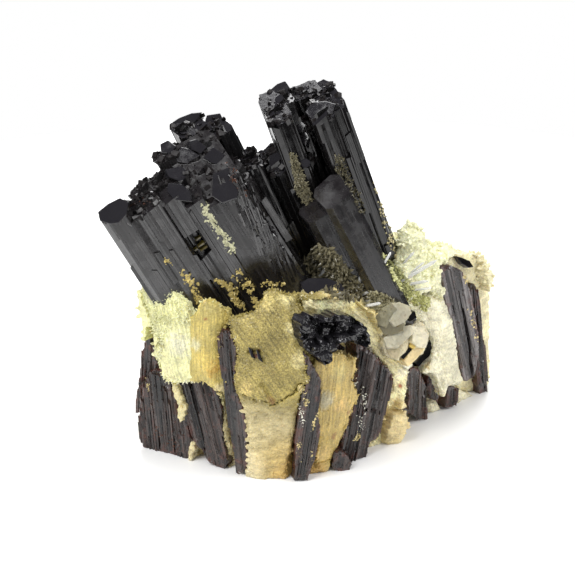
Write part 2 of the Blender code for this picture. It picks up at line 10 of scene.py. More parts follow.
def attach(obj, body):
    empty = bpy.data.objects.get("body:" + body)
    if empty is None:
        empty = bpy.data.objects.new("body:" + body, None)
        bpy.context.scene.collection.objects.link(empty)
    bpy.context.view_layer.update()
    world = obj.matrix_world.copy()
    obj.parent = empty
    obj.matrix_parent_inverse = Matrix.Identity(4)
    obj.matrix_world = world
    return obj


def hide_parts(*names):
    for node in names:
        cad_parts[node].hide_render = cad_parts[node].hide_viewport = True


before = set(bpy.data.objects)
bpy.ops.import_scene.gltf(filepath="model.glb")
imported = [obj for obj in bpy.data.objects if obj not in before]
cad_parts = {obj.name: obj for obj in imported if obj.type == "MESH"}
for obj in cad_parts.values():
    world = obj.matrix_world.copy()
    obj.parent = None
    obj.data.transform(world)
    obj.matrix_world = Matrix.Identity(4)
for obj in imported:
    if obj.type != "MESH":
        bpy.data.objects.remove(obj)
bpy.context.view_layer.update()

# The view. The specimen was photographed from 24 degrees above the level, square to its front. The camera comes
# first because grains and stains are put where its picture shows them, on the crystals that carry them.
MM = 0.001
CAMERA_RISE = math.radians(24.0)
CAMERA_DISTANCE = 0.400
TO_BOX_MIDDLE = Vector((-1.48, -0.93, 0.0))
CAMERA_AIM = (Vector((0.0, 0.0, 18.3)) + TO_BOX_MIDDLE) * MM
PICTURE_SIDE = 575
PIXEL_AT_AIM = 0.115 * MM

camera_data = bpy.data.cameras.new("camera")
camera_data.sensor_width = 36.0
camera_data.lens = camera_data.sensor_width * CAMERA_DISTANCE / (PICTURE_SIDE * PIXEL_AT_AIM)
camera_data.clip_start = 0.01
camera = bpy.data.objects.new("camera", camera_data)
bpy.context.scene.collection.objects.link(camera)
camera.location = CAMERA_AIM + CAMERA_DISTANCE * Vector((0.0, -math.cos(CAMERA_RISE), math.sin(CAMERA_RISE)))
camera.rotation_euler = (math.pi / 2 - CAMERA_RISE, 0.0, 0.0)
bpy.context.scene.camera = camera


def sight_of(pixel):
    """The direction in which the camera sees a pixel."""
    right = (pixel[0] - PICTURE_SIDE / 2) * PIXEL_AT_AIM
    up = (PICTURE_SIDE / 2 - pixel[1]) * PIXEL_AT_AIM
    return (camera.rotation_euler.to_matrix() @ Vector((right, up, -CAMERA_DISTANCE))).normalized()


def pixels_of(points):
    """Where the camera shows each of the points."""
    turn = np.array(camera.rotation_euler.to_matrix())
    seen = (points - np.array(camera.location)) @ turn
    scale = CAMERA_DISTANCE / (PIXEL_AT_AIM * -seen[:, 2])
    middle = PICTURE_SIDE / 2
    return np.stack([middle + seen[:, 0] * scale, middle - seen[:, 1] * scale], axis=1)


def inside(pixels, outline):
    """Which of the pixels lie inside an outline."""
    within = np.zeros(len(pixels), bool)
    x, y = pixels[:, 0], pixels[:, 1]
    for (x0, y0), (x1, y1) in zip(outline, outline[1:] + outline[:1]):
        if y0 != y1:
            crossed = (y0 > y) != (y1 > y)
            within ^= crossed & (x < (x1 - x0) * (y - y0) / (y1 - y0) + x0)
    return within


def on_plane(pixel, point, outward):
    """Where a pixel's line of sight meets a plane."""
    sight = sight_of(pixel)
    return camera.location + sight * ((point - camera.location).dot(outward) / sight.dot(outward))


def seen_at(pixel, carriers):
    """The point and the face direction that a pixel shows on the nearest of the given pieces."""
    nearest = None
    for carrier in carriers:
        found, point, normal, _ = carrier.ray_cast(camera.location, sight_of(pixel))
        if found and (nearest is None or (point - camera.location).length < nearest[2]):
            nearest = (point, normal, (point - camera.location).length)
    return nearest


# The quartz lump. Massive milky to yellow quartz holds the whole specimen together. It is the frame's own solid,
# wrapped in a finer skin that closes up to the crystals and is roughened as sugary quartz is.
LUMP_SKIN = 0.26 * MM
LUMP_SWELL = 0.25 * MM
PALE = (0.70, 0.62, 0.38)
LEMON = (0.88, 0.86, 0.46)
OLIVE = (0.36, 0.29, 0.088)
AMBER = (0.58, 0.43, 0.14)
CREAM = (0.76, 0.62, 0.28)
MILK = (0.88, 0.86, 0.72)
RUST = (0.30, 0.10, 0.04)

# Where the quartz takes its colours: (place in mm, reach in mm, colour).
LUMP_TINTS = [
    ((-14.0, -7.0, 14.0), 5.0, LEMON),
    ((-9.0, -9.0, 14.0), 3.0, AMBER),
    ((-2.5, -12.5, 15.0), 4.5, OLIVE),
    ((-3.5, -13.0, 6.0), 3.0, (0.66, 0.56, 0.30)),
    ((-1.5, -13.0, 3.0), 2.5, (0.66, 0.50, 0.19)),
    ((-4.5, -13.0, 2.0), 2.0, (0.78, 0.68, 0.42)),
    ((0.5, -13.0, 1.5), 2.0, (0.66, 0.42, 0.12)),
    ((-12.0, -7.0, 4.0), 3.0, CREAM),
    ((5.0, -9.5, 7.0), 3.0, AMBER),
    ((8.0, -5.0, 17.0), 3.0, CREAM),
    ((12.0, -1.0, 10.0), 3.5, MILK),
    ((16.5, 1.5, 12.0), 5.0, (0.92, 0.88, 0.62)),
    ((16.0, 4.0, 5.0), 4.0, (0.93, 0.86, 0.60)),
    ((11.0, -4.0, 4.0), 3.0, (0.86, 0.70, 0.36)),
    ((15.0, 4.0, 20.0), 5.0, (0.95, 0.94, 0.62)),
    ((21.0, 9.0, 12.0), 4.0, (0.92, 0.84, 0.54)),
    ((0.0, 12.0, 12.0), 9.0, PALE),
]


def select_only(piece):
    bpy.ops.object.select_all(action="DESELECT")
    piece.select_set(True)
    bpy.context.view_layer.objects.active = piece


def apply_modifier(piece, kind, **settings):
    select_only(piece)
    modifier = piece.modifiers.new(kind.lower(), kind)
    for key, value in settings.items():
        setattr(modifier, key, value)
    bpy.ops.object.modifier_apply(modifier=modifier.name)


def copy_of_node(node, name):
    """A new piece with the mesh of one CAD node, its corners merged."""
    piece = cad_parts[node].copy()
    piece.data = piece.data.copy()
    piece.name = name
    piece.parent = None
    for key in list(piece.keys()):
        del piece[key]
    bpy.context.scene.collection.objects.link(piece)
    select_only(piece)
    bpy.ops.object.mode_set(mode="EDIT")
    bpy.ops.mesh.select_all(action="SELECT")
    bpy.ops.mesh.remove_doubles(threshold=0.000001)
    bpy.ops.object.mode_set(mode="OBJECT")
    piece.data.materials.clear()
    return piece


def points_of(piece):
    points = np.empty(len(piece.data.vertices) * 3)
    piece.data.vertices.foreach_get("co", points)
    return points.reshape(-1, 3)


def set_points(piece, points):
    piece.data.vertices.foreach_set("co", points.ravel())
    piece.data.update()


def normals_of(piece):
    normals = np.empty(len(piece.data.vertices) * 3)
    piece.data.vertex_normals.foreach_get("vector", normals)
    return normals.reshape(-1, 3)


def rolling(points, scale, octaves, seed):
    """Smooth noise at each point, from about -1 to 1, with its waves of the given size."""
    shift = Vector((seed * 7.3, seed * 3.1, seed * 5.7))
    return np.array([noise.fractal(Vector(point) / scale + shift, 0.6, 2.1, octaves) for point in points])


def roughen(piece, amount, scale, octaves, seed):
    """Moves the skin along its normals by smooth noise, but never below the floor."""
    points = points_of(piece)
    rise = rolling(points, scale, octaves, seed)[:, None] * amount
    points = points + normals_of(piece) * rise
    points[:, 2] = np.maximum(points[:, 2], 0.0)
    set_points(piece, points)


def tinted(points, tints, seed):
    """The quartz colour at each point, blended from the places around it."""
    middles = np.array([(Vector(place) + TO_BOX_MIDDLE) * MM for place, _, _ in tints])
    reaches = np.array([reach * MM for _, reach, _ in tints])
    colours = np.array([colour for _, _, colour in tints])
    wander = rolling(points, 1.6 * MM, 3, seed)
    apart = np.linalg.norm(points[:, None, :] - middles[None, :, :], axis=2) / reaches
    weight = np.exp(-1.6 * (apart + 0.25 * wander[:, None]) ** 2) + 1e-6
    weight /= weight.sum(axis=1, keepdims=True)
    return weight @ colours


def set_tint(piece, colours):
    """Stores a colour at each point, for the material to read."""
    layer = piece.data.attributes.new("tint", "FLOAT_COLOR", "POINT")
    rgba = np.ones((len(colours), 4))
    rgba[:, :3] = colours
    layer.data.foreach_set("color", rgba.ravel())


lump = copy_of_node("quartz_matrix", "quartz_lump")
apply_modifier(lump, "REMESH", mode="VOXEL", voxel_size=LUMP_SKIN)
set_points(lump, np.maximum(points_of(lump) + normals_of(lump) * LUMP_SWELL, (-1.0, -1.0, 0.0)))
roughen(lump, 0.22 * MM, 1.6 * MM, 3, 1)
roughen(lump, 0.10 * MM, 0.5 * MM, 2, 4)
set_tint(lump, tinted(points_of(lump), LUMP_TINTS, 2))
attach(lump, "root")
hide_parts("quartz_matrix")


def new_material(name):
    mat = bpy.data.materials.new(name)
    mat.use_nodes = True
    return mat, mat.node_tree, mat.node_tree.nodes["Principled BSDF"]


def add_node(tree, kind, **settings):
    """Adds a node. A setting that names an input becomes that input's value or link."""
    made = tree.nodes.new(kind)
    for key, value in settings.items():
        if hasattr(made, key):
            setattr(made, key, value)
            continue
        socket = made.inputs[key.replace("_", " ")]
        if isinstance(value, bpy.types.NodeSocket):
            tree.links.new(value, socket)
        else:
            socket.default_value = value
    return made


def ramp(tree, factor, stops):
    """A colour ramp through the stops, each one being (place, brightness or colour)."""
    made = tree.nodes.new("ShaderNodeValToRGB")
    tree.links.new(factor, made.inputs["Fac"])
    elements = made.color_ramp.elements
    while len(elements) < len(stops):
        elements.new(0.5)
    for element, (place, value) in zip(elements, stops):
        element.position = place
        element.color = (value, value, value, 1.0) if isinstance(value, float) else (*value, 1.0)
    return made.outputs["Color"]


def mixed(tree, blend, factor, first, second):
    """A colour mix. The factor and both colours may each be a value or a link."""
    made = tree.nodes.new("ShaderNodeMix")
    made.data_type = "RGBA"
    made.blend_type = blend
    for socket, value in ((made.inputs[0], factor), (made.inputs[6], first), (made.inputs[7], second)):
        if isinstance(value, bpy.types.NodeSocket):
            tree.links.new(value, socket)
        elif isinstance(value, float):
            socket.default_value = value
        else:
            socket.default_value = (*value, 1.0)
    return made.outputs[2]


def sugar_group():
    """Sugary quartz: grains of even size with bright faces, cloudy patches and rusty pits."""
    tree = bpy.data.node_groups.new("sugar", "ShaderNodeTree")
    for name, kind in (("Colour", "NodeSocketColor"), ("Grain", "NodeSocketFloat"), ("Stain", "NodeSocketFloat")):
        tree.interface.new_socket(name=name, in_out="INPUT", socket_type=kind)
    for name, kind in (("Colour", "NodeSocketColor"), ("Rough", "NodeSocketFloat"), ("Height", "NodeSocketFloat")):
        tree.interface.new_socket(name=name, in_out="OUTPUT", socket_type=kind)
    given = tree.nodes.new("NodeGroupInput")
    result = tree.nodes.new("NodeGroupOutput")
    place = add_node(tree, "ShaderNodeTexCoord").outputs["Object"]
    grains = add_node(tree, "ShaderNodeTexVoronoi", Vector=place, Scale=given.outputs["Grain"])
    cloud = add_node(tree, "ShaderNodeTexNoise", Vector=place, Scale=420.0, Detail=4.0)
    pits = add_node(tree, "ShaderNodeTexNoise", Vector=place, Scale=900.0, Detail=5.0, Roughness=0.7)
    shade = ramp(tree, grains.outputs["Color"], [(0.0, 0.80), (1.0, 1.10)])
    colour = mixed(tree, "MULTIPLY", 1.0, given.outputs["Colour"], shade)
    cloudy = ramp(tree, cloud.outputs["Fac"], [(0.35, 0.86), (0.65, 1.08)])
    colour = mixed(tree, "MULTIPLY", 1.0, colour, cloudy)
    spots = add_node(tree, "ShaderNodeMath", operation="MULTIPLY")
    tree.links.new(ramp(tree, pits.outputs["Fac"], [(0.60, 0.0), (0.74, 1.0)]), spots.inputs[0])
    tree.links.new(given.outputs["Stain"], spots.inputs[1])
    colour = mixed(tree, "MIX", spots.outputs[0], colour, RUST)
    rough = ramp(tree, grains.outputs["Color"], [(0.0, 0.22), (1.0, 0.60)])
    height = add_node(tree, "ShaderNodeMath", operation="ADD")
    tree.links.new(grains.outputs["Distance"], height.inputs[0])
    tree.links.new(cloud.outputs["Fac"], height.inputs[1])
    tree.links.new(colour, result.inputs["Colour"])
    tree.links.new(rough, result.inputs["Rough"])
    tree.links.new(height.outputs[0], result.inputs["Height"])
    return tree


sugar = sugar_group()


def quartz_material(name, grain, stain, depth, subsurface):
    """Quartz that takes its colour from the points' tint."""
    mat, tree, shader = new_material(name)
    tint = add_node(tree, "ShaderNodeAttribute", attribute_name="tint")
    group = add_node(tree, "ShaderNodeGroup", node_tree=sugar, Colour=tint.outputs["Color"], Grain=grain, Stain=stain)
    bump = add_node(tree, "ShaderNodeBump", Height=group.outputs["Height"], Distance=depth)
    tree.links.new(group.outputs["Colour"], shader.inputs["Base Color"])
    tree.links.new(group.outputs["Rough"], shader.inputs["Roughness"])
    tree.links.new(bump.outputs["Normal"], shader.inputs["Normal"])
    shader.inputs["IOR"].default_value = 1.54
    shader.inputs["Subsurface Weight"].default_value = subsurface
    shader.inputs["Subsurface Radius"].default_value = (1.0, 0.8, 0.45)
    shader.inputs["Subsurface Scale"].default_value = 0.8 * MM
    return mat


def massive_quartz():
    """The quartz of the lump: translucent, wispy across the blades, with warm and milky clouds."""
    mat, tree, shader = new_material("massive_quartz")
    tint = add_node(tree, "ShaderNodeAttribute", attribute_name="tint")
    group = add_node(tree, "ShaderNodeGroup", node_tree=sugar, Colour=tint.outputs["Color"], Grain=5200.0, Stain=0.35)
    place = add_node(tree, "ShaderNodeTexCoord").outputs["Object"]
    drawn = add_node(tree, "ShaderNodeMapping", Vector=place, Scale=(0.35, 0.35, 1.0)).outputs["Vector"]
    wisps = add_node(tree, "ShaderNodeTexNoise", Vector=drawn, Scale=1500.0, Detail=4.0, Distortion=0.6).outputs["Fac"]
    colour = mixed(tree, "MULTIPLY", 1.0, group.outputs["Colour"], ramp(tree, wisps, [(0.36, 0.80), (0.62, 1.10)]))
    height = add_node(tree, "ShaderNodeMath", operation="MULTIPLY_ADD")
    tree.links.new(wisps, height.inputs[0])
    height.inputs[1].default_value = 2.0
    tree.links.new(group.outputs["Height"], height.inputs[2])
    bump = add_node(tree, "ShaderNodeBump", Height=height.outputs[0], Distance=0.09 * MM)
    tree.links.new(colour, shader.inputs["Base Color"])
    tree.links.new(group.outputs["Rough"], shader.inputs["Roughness"])
    tree.links.new(bump.outputs["Normal"], shader.inputs["Normal"])
    shader.inputs["IOR"].default_value = 1.54
    shader.inputs["Subsurface Weight"].default_value = 0.3
    shader.inputs["Subsurface Radius"].default_value = (1.0, 0.85, 0.5)
    shader.inputs["Subsurface Scale"].default_value = 0.9 * MM
    return mat


massive = massive_quartz()
lump.data.materials.append(massive)

# The upright prisms. Hubnerite grows as bundles of flat columns that run the whole length of a crystal, so its
# sides are ribbed and its ends are stepped. Each prism is a bundle of such columns, rooted in the quartz.
LOOK = Vector((0.0, 0.9135, -0.4067))
COLUMN_RIB = 0.24


def stand(foot, lean, away=LOOK):
    """The frame of one crystal, in metres: u runs across its front, w away from the viewer, h along it."""
    along = Vector(lean).normalized()
    back = (Vector(away) - Vector(away).dot(along) * along).normalized()
    across = back.cross(along).normalized()
    turn = Matrix((across, back, along)).transposed().to_4x4()
    return Matrix.Translation((Vector(foot) + TO_BOX_MIDDLE) * MM) @ turn @ Matrix.Scale(MM, 4)


# name: (stand, depth of the foot, turn, how many end steps, how many side slats, seed, columns). A column is
# (u, w, half_u, half_w, top, dip_u, dip_w, corner, relief) in mm, as in the solids.
PRISMS = {
    "prism_main": (stand((-7.6, -1.0, 18.5), (-0.557, -0.08, 1.0)), -5.0, 0.0, 300, 110, 3, [
        (-5.35, -2.4, 1.75, 2.4, 16.2, 0.05, -0.25, 0.45, 0.015),
        (-5.10, 0.6, 1.70, 2.0, 14.0, 0.10, -0.20, 0.35, 0.03),
        (-3.40, -1.6, 1.40, 3.2, 14.8, 0.10, -0.05, 0.25, 0.10),
        (-1.60, -1.2, 1.45, 3.8, 15.2, 0.15, 0.05, 0.20, 0.06),
        (0.70, -0.2, 1.30, 2.8, 14.8, 0.10, 0.20, 0.25, 0.10),
        (2.85, -0.9, 1.45, 4.1, 14.4, 0.05, 0.38, 0.25, 0.03),
        (5.90, -1.0, 3.00, 4.2, 14.0, -0.08, 0.62, 0.22, 0.010),
        (8.10, -0.4, 1.60, 3.3, 11.9, -0.35, 0.25, 0.45, 0.06),
        (-1.60, 3.2, 2.80, 2.2, 13.4, 0.15, -0.10, 0.35, 0.05),
        (3.40, 3.4, 1.90, 2.2, 16.2, -0.10, -0.12, 0.35, 0.04),
        (6.70, 3.0, 2.20, 2.3, 14.6, -0.25, -0.10, 0.40, 0.05),
    ]),
    "prism_back_left": (stand((-2.0, 6.0, 16.0), (-0.44, -0.05, 1.0)), -4.0, 14.0, 26, 24, 2, [
        (-1.15, -0.3, 0.95, 2.2, 22.3, -0.15, 0.10, 0.40, 0.04),
        (0.50, 0.3, 1.20, 2.2, 21.5, 0.05, 0.15, 0.30, 0.05),
        (2.55, -0.5, 1.30, 2.1, 20.9, -0.05, 0.18, 0.40, 0.04),
    ]),
    "prism_rear": (stand((3.0, 4.4, 16.0), (-0.40, -0.05, 1.0)), -4.0, 10.0, 60, 20, 4, [
        (-0.70, -0.6, 1.20, 2.2, 18.6, -0.10, 0.20, 0.35, 0.05),
        (0.75, 0.4, 1.10, 2.3, 17.2, -0.05, 0.20, 0.30, 0.05),
        (2.05, -0.9, 1.20, 2.0, 17.4, 0.25, 0.55, 0.40, 0.03),
    ]),
    "prism_tall": (stand((13.0, 6.0, 16.0), (-0.33, -0.08, 1.0)), -6.0, 8.0, 110, 70, 8, [
        (-6.50, -1.2, 1.35, 2.9, 27.3, -0.10, 0.30, 0.42, 0.08),
        (-5.40, 1.2, 1.20, 1.9, 27.2, -0.10, 0.10, 0.30, 0.08),
        (-3.30, 2.3, 2.50, 1.4, 26.4, -0.05, 0.20, 0.25, 0.08),
        (-1.75, -1.9, 1.45, 1.7, 25.3, 0.10, 0.45, 0.40, 0.07),
        (-0.60, 0.3, 1.50, 3.3, 25.6, 0.05, 0.20, 0.35, 0.05),
        (-4.40, -0.4, 0.75, 0.9, 23.4, 0.00, 0.90, 0.35, 0.08),
        (-5.05, -1.8, 0.42, 0.42, 20.0, 0.00, 0.60, 0.45, 0.03),
    ]),
}


def ribbed_outline(rng, half_u, half_w, corner, rib, relief):
    """A flattened six-sided outline with its corners cut back and flat ribs along every side."""
    cut_u = corner * half_u
    cut_w = corner * half_w
    corners = [(half_u, -half_w + cut_w), (half_u, half_w - cut_w), (half_u - cut_u, half_w),
               (-half_u + cut_u, half_w), (-half_u, half_w - cut_w), (-half_u, -half_w + cut_w),
               (-half_u + cut_u, -half_w), (half_u - cut_u, -half_w)]
    outline = []
    for start, end in zip(corners, corners[1:] + corners[:1]):
        start, end = Vector(start), Vector(end)
        length = (end - start).length
        outwards = Vector(((end - start).y, -(end - start).x)).normalized()
        at = 0.0
        while at < length:
            wide = min(rib * rng.uniform(0.4, 1.8), length - at)
            whole = at == 0.0 or at + wide >= length
            for share in (at + 0.02 * wide, at + 0.94 * wide):
                sunk = 0.0 if whole else rng.uniform(0.0, relief)
                outline.append(start.lerp(end, share / length) - outwards * sunk)
            at += wide
    return outline


def ribbed_column(rng, matrix, middle, halves, foot, top, dips, corner, spin, rib, relief):
    """One column, drawn up from its outline and cut off at its end by a plane that dips."""
    outline = ribbed_outline(rng, halves[0], halves[1], corner, rib, relief)
    bpy.ops.object.select_all(action="DESELECT")
    bpy.ops.mesh.primitive_circle_add(vertices=len(outline), radius=1.0, fill_type="NGON")
    column = bpy.context.object
    turn = Matrix.Rotation(math.radians(spin), 2)
    for vert, point in zip(column.data.vertices, outline):
        turned = turn @ point
        vert.co = (middle[0] + turned.x, middle[1] + turned.y, foot)
    overlong = top - foot + halves[0] * abs(dips[0]) + halves[1] * abs(dips[1]) + 1.0
    bpy.ops.object.mode_set(mode="EDIT")
    bpy.ops.mesh.extrude_region_move(TRANSFORM_OT_translate={"value": (0.0, 0.0, overlong)})
    bpy.ops.mesh.select_all(action="SELECT")
    bpy.ops.mesh.bisect(plane_co=(middle[0], middle[1], top), plane_no=(-dips[0], -dips[1], 1.0),
                        use_fill=True, clear_outer=True)
    bpy.ops.mesh.select_all(action="SELECT")
    bpy.ops.mesh.remove_doubles(threshold=0.003)
    bpy.ops.mesh.normals_make_consistent(inside=False)
    bpy.ops.object.mode_set(mode="OBJECT")
    column.data.transform(matrix)
    return column


def joined(pieces, name):
    """All the pieces as one piece, whose place is in its mesh."""
    bpy.ops.object.select_all(action="DESELECT")
    for piece in pieces:
        piece.select_set(True)
    bpy.context.view_layer.objects.active = pieces[0]
    bpy.ops.object.join()
    whole = bpy.context.object
    whole.name = name
    whole.data.name = name
    return whole


def end_steps(rng, matrix, columns, count, foot):
    """The small columns that end a crystal at many heights, each with a tilted top of its own."""
    steps = []
    for _ in range(count):
        u, w, half_u, half_w, top, dip_u, dip_w = rng.choice(columns)[:7]
        size = min(0.16 + 0.95 * rng.random() ** 2.6, 0.7 * half_u, 0.7 * half_w)
        step_u = rng.uniform(-1, 1) * (half_u - 0.9 * size)
        step_w = rng.uniform(-1, 1) * (half_w - 0.9 * size)
        lid = top + step_u * dip_u + step_w * dip_w + rng.uniform(-0.25, 0.30)
        dips = (rng.uniform(-0.5, 0.5), rng.uniform(-0.8, 0.3))
        halves = (size, size * rng.uniform(0.5, 1.1))
        steps.append(ribbed_column(rng, matrix, (u + step_u, w + step_w), halves, max(foot, lid - 3.0), lid, dips,
                                   0.30, rng.uniform(-20, 20), 2.0, 0.0))
    return steps


def side_slats(rng, matrix, columns, count, foot):
    """Thin slats along the sides, which start and end anywhere: the terraces between the ribs."""
    slats = []
    for _ in range(count):
        u, w, half_u, half_w, top, dip_u, dip_w = rng.choice(columns)[:7]
        angle = rng.uniform(0, 2 * math.pi)
        at_u = max(-0.93, min(0.93, 1.3 * math.cos(angle))) * half_u
        at_w = max(-0.97, min(0.97, 1.3 * math.sin(angle))) * half_w
        end = top + at_u * dip_u + at_w * dip_w - rng.uniform(0.2, top - foot - 6.0)
        halves = (rng.uniform(0.12, 0.5), rng.uniform(0.12, 0.35))
        start = max(foot, end - rng.uniform(3.0, 12.0))
        slats.append(ribbed_column(rng, matrix, (u + at_u, w + at_w), halves, start, end,
                                   (rng.uniform(-0.8, 0.8), -0.7), 0.12, rng.uniform(-3, 3), 0.25, 0.03))
    return slats


def pit_walls(rng, matrix, foot):
    """The column before the pit of the main prism, which is missing between two heights."""
    return [ribbed_column(rng, matrix, (0.70, -3.3), (1.30, 1.35), start, end, dips, 0.25, 0.5, COLUMN_RIB, 0.10)
            for start, end, dips in ((foot, 6.2, (0.25, -0.3)), (9.8, 14.8, (0.10, 0.20)))]


def shape_of(piece):
    """The corners and triangles of a small piece that is about to be repeated, which itself is taken away."""
    apply_modifier(piece, "TRIANGULATE")
    corners = points_of(piece)
    faces = np.array([face.vertices[:] for face in piece.data.polygons])
    bpy.data.objects.remove(piece)
    return corners, faces


def repeated(name, shape, places, axes, sizes, spins, sink):
    """One piece made of a shape at every place, each along its own axis, at its own size and partly sunk."""
    corners, faces = shape
    axes = axes / np.linalg.norm(axes, axis=1, keepdims=True)
    helper = np.where(np.abs(axes[:, 2:3]) < 0.9, (0.0, 0.0, 1.0), (1.0, 0.0, 0.0))
    side = np.cross(axes, helper)
    side /= np.linalg.norm(side, axis=1, keepdims=True)
    other = np.cross(axes, side)
    first = side * np.cos(spins)[:, None] + other * np.sin(spins)[:, None]
    second = np.cross(axes, first)
    made = (places - axes * (sizes[:, 2] * sink)[:, None])[:, None, :]
    for number, axis in enumerate((first, second, axes)):
        made = made + corners[None, :, number:number + 1] * axis[:, None, :] * sizes[:, None, number:number + 1]
    faces = faces[None] + (np.arange(len(places)) * len(corners))[:, None, None]
    made = made.reshape(-1, 3)
    made[:, 2] = np.maximum(made[:, 2], 0.0)
    mesh = bpy.data.meshes.new(name)
    mesh.from_pydata(made.tolist(), [], faces.reshape(-1, 3).tolist())
    piece = bpy.data.objects.new(name, mesh)
    bpy.context.scene.collection.objects.link(piece)
    return piece


def end_crumbs(name, rng, matrix, columns, count):
    """Blocky crumbs of hubnerite over the broken end of a crystal, nearly square to it."""
    picks = rng.integers(0, len(columns), count)
    table = np.array(columns)[picks]
    across = rng.uniform(-0.96, 0.96, (count, 2)) * table[:, 2:4]
    height = table[:, 4] + (across * table[:, 5:7]).sum(axis=1) + rng.uniform(-0.25, 0.12, count)
    local = np.column_stack([table[:, 0:2] + across, height, np.ones(count)])
    places = (local @ np.array(matrix).T)[:, :3]
    axes = np.array(matrix.to_3x3() @ Vector((0, 0, 1 / MM)))[None] + rng.normal(0.0, 0.35, (count, 3))
    sizes = (0.12 + 0.5 * rng.random((count, 1)) ** 3) * rng.uniform(0.5, 1.5, (count, 3)) * MM
    return repeated(name, block, places, axes, sizes, rng.uniform(0.0, math.pi, count), 0.0)


bpy.ops.object.select_all(action="DESELECT")
bpy.ops.mesh.primitive_cube_add(size=1.0)
block = shape_of(bpy.context.object)


bpy.ops.mesh.primitive_cube_add(size=1.0)
sliver = shape_of(bpy.context.object)
sliver[0][:, 2] += 0.08 * sliver[0][:, 0] + 0.05 * sliver[0][:, 1]


def oblique_ridges(matrix):
    """The thin steps that run aslant down the right margin of the main prism."""
    rng = np.random.default_rng(17)
    count = 170
    at_u = rng.uniform(6.3, 8.9, count)
    at_w = -5.22 + 1.35 * np.maximum(0.0, at_u - 8.2)
    local = np.column_stack([at_u, at_w, rng.uniform(-1.0, 13.0, count), np.ones(count)])
    tilt = np.radians(rng.uniform(6, 16, count))
    axes = np.column_stack([np.sin(tilt), np.zeros(count), np.cos(tilt)]) @ np.array(matrix.to_3x3()).T
    sizes = np.column_stack([rng.uniform(0.05, 0.13, count), rng.uniform(0.10, 0.34, count),
                             rng.uniform(1.0, 3.6, count)]) * MM
    return repeated("ridges", sliver, (local @ np.array(matrix).T)[:, :3], axes, sizes, rng.uniform(-0.5, 0.5, count), 0.0)


def set_growth(piece, matrix):
    """Stores where each point lies in its crystal's own frame, and which faces are broken or ended."""
    inverse = matrix.inverted()
    grown = piece.data.attributes.new("grown", "FLOAT_VECTOR", "POINT")
    grown.data.foreach_set("vector", np.array([inverse @ vert.co for vert in piece.data.vertices]).ravel())
    along = (matrix.to_3x3() @ Vector((0, 0, 1))).normalized()
    ended = piece.data.attributes.new("ended", "FLOAT", "FACE")
    ended.data.foreach_set("value", [float(abs(face.normal.dot(along)) > 0.2) for face in piece.data.polygons])


def growth_group():
    """The growth of hubnerite: lines along a crystal's sides and small facets over its ends."""
    tree = bpy.data.node_groups.new("growth", "ShaderNodeTree")
    for name in ("Lines", "Facets"):
        tree.interface.new_socket(name=name, in_out="INPUT", socket_type="NodeSocketFloat")
    for name in ("Shade", "Rough", "Height", "Ended", "Worn"):
        tree.interface.new_socket(name=name, in_out="OUTPUT", socket_type="NodeSocketFloat")
    given = tree.nodes.new("NodeGroupInput")
    result = tree.nodes.new("NodeGroupOutput")
    grown = add_node(tree, "ShaderNodeAttribute", attribute_name="grown").outputs["Vector"]
    ended = add_node(tree, "ShaderNodeAttribute", attribute_name="ended").outputs["Fac"]
    drawn = add_node(tree, "ShaderNodeMapping", Vector=grown, Scale=(1.0, 1.0, 0.035)).outputs["Vector"]
    fine = add_node(tree, "ShaderNodeTexNoise", Vector=drawn, Scale=given.outputs["Lines"], Detail=3.0)
    broad = add_node(tree, "ShaderNodeTexNoise", Vector=drawn, Scale=1.6, Detail=2.0)
    grain = add_node(tree, "ShaderNodeTexNoise", Vector=grown, Scale=given.outputs["Facets"], Detail=2.0)
    dust = add_node(tree, "ShaderNodeTexNoise", Vector=grown, Scale=0.7, Detail=3.0, Roughness=0.6)
    worn = add_node(tree, "ShaderNodeAttribute", attribute_name="worn").outputs["Fac"]
    lines = add_node(tree, "ShaderNodeMix")
    tree.links.new(ended, lines.inputs[0])
    tree.links.new(fine.outputs["Fac"], lines.inputs[2])
    tree.links.new(grain.outputs["Fac"], lines.inputs[3])
    shade = add_node(tree, "ShaderNodeMath", operation="MULTIPLY")
    tree.links.new(broad.outputs["Fac"], shade.inputs[0])
    tree.links.new(fine.outputs["Fac"], shade.inputs[1])
    tree.links.new(shade.outputs[0], result.inputs["Shade"])
    tree.links.new(dust.outputs["Fac"], result.inputs["Rough"])
    tree.links.new(lines.outputs[0], result.inputs["Height"])
    tree.links.new(ended, result.inputs["Ended"])
    tree.links.new(worn, result.inputs["Worn"])
    return tree


growth = growth_group()
RUST_STAIN = (0.10, 0.030, 0.018)


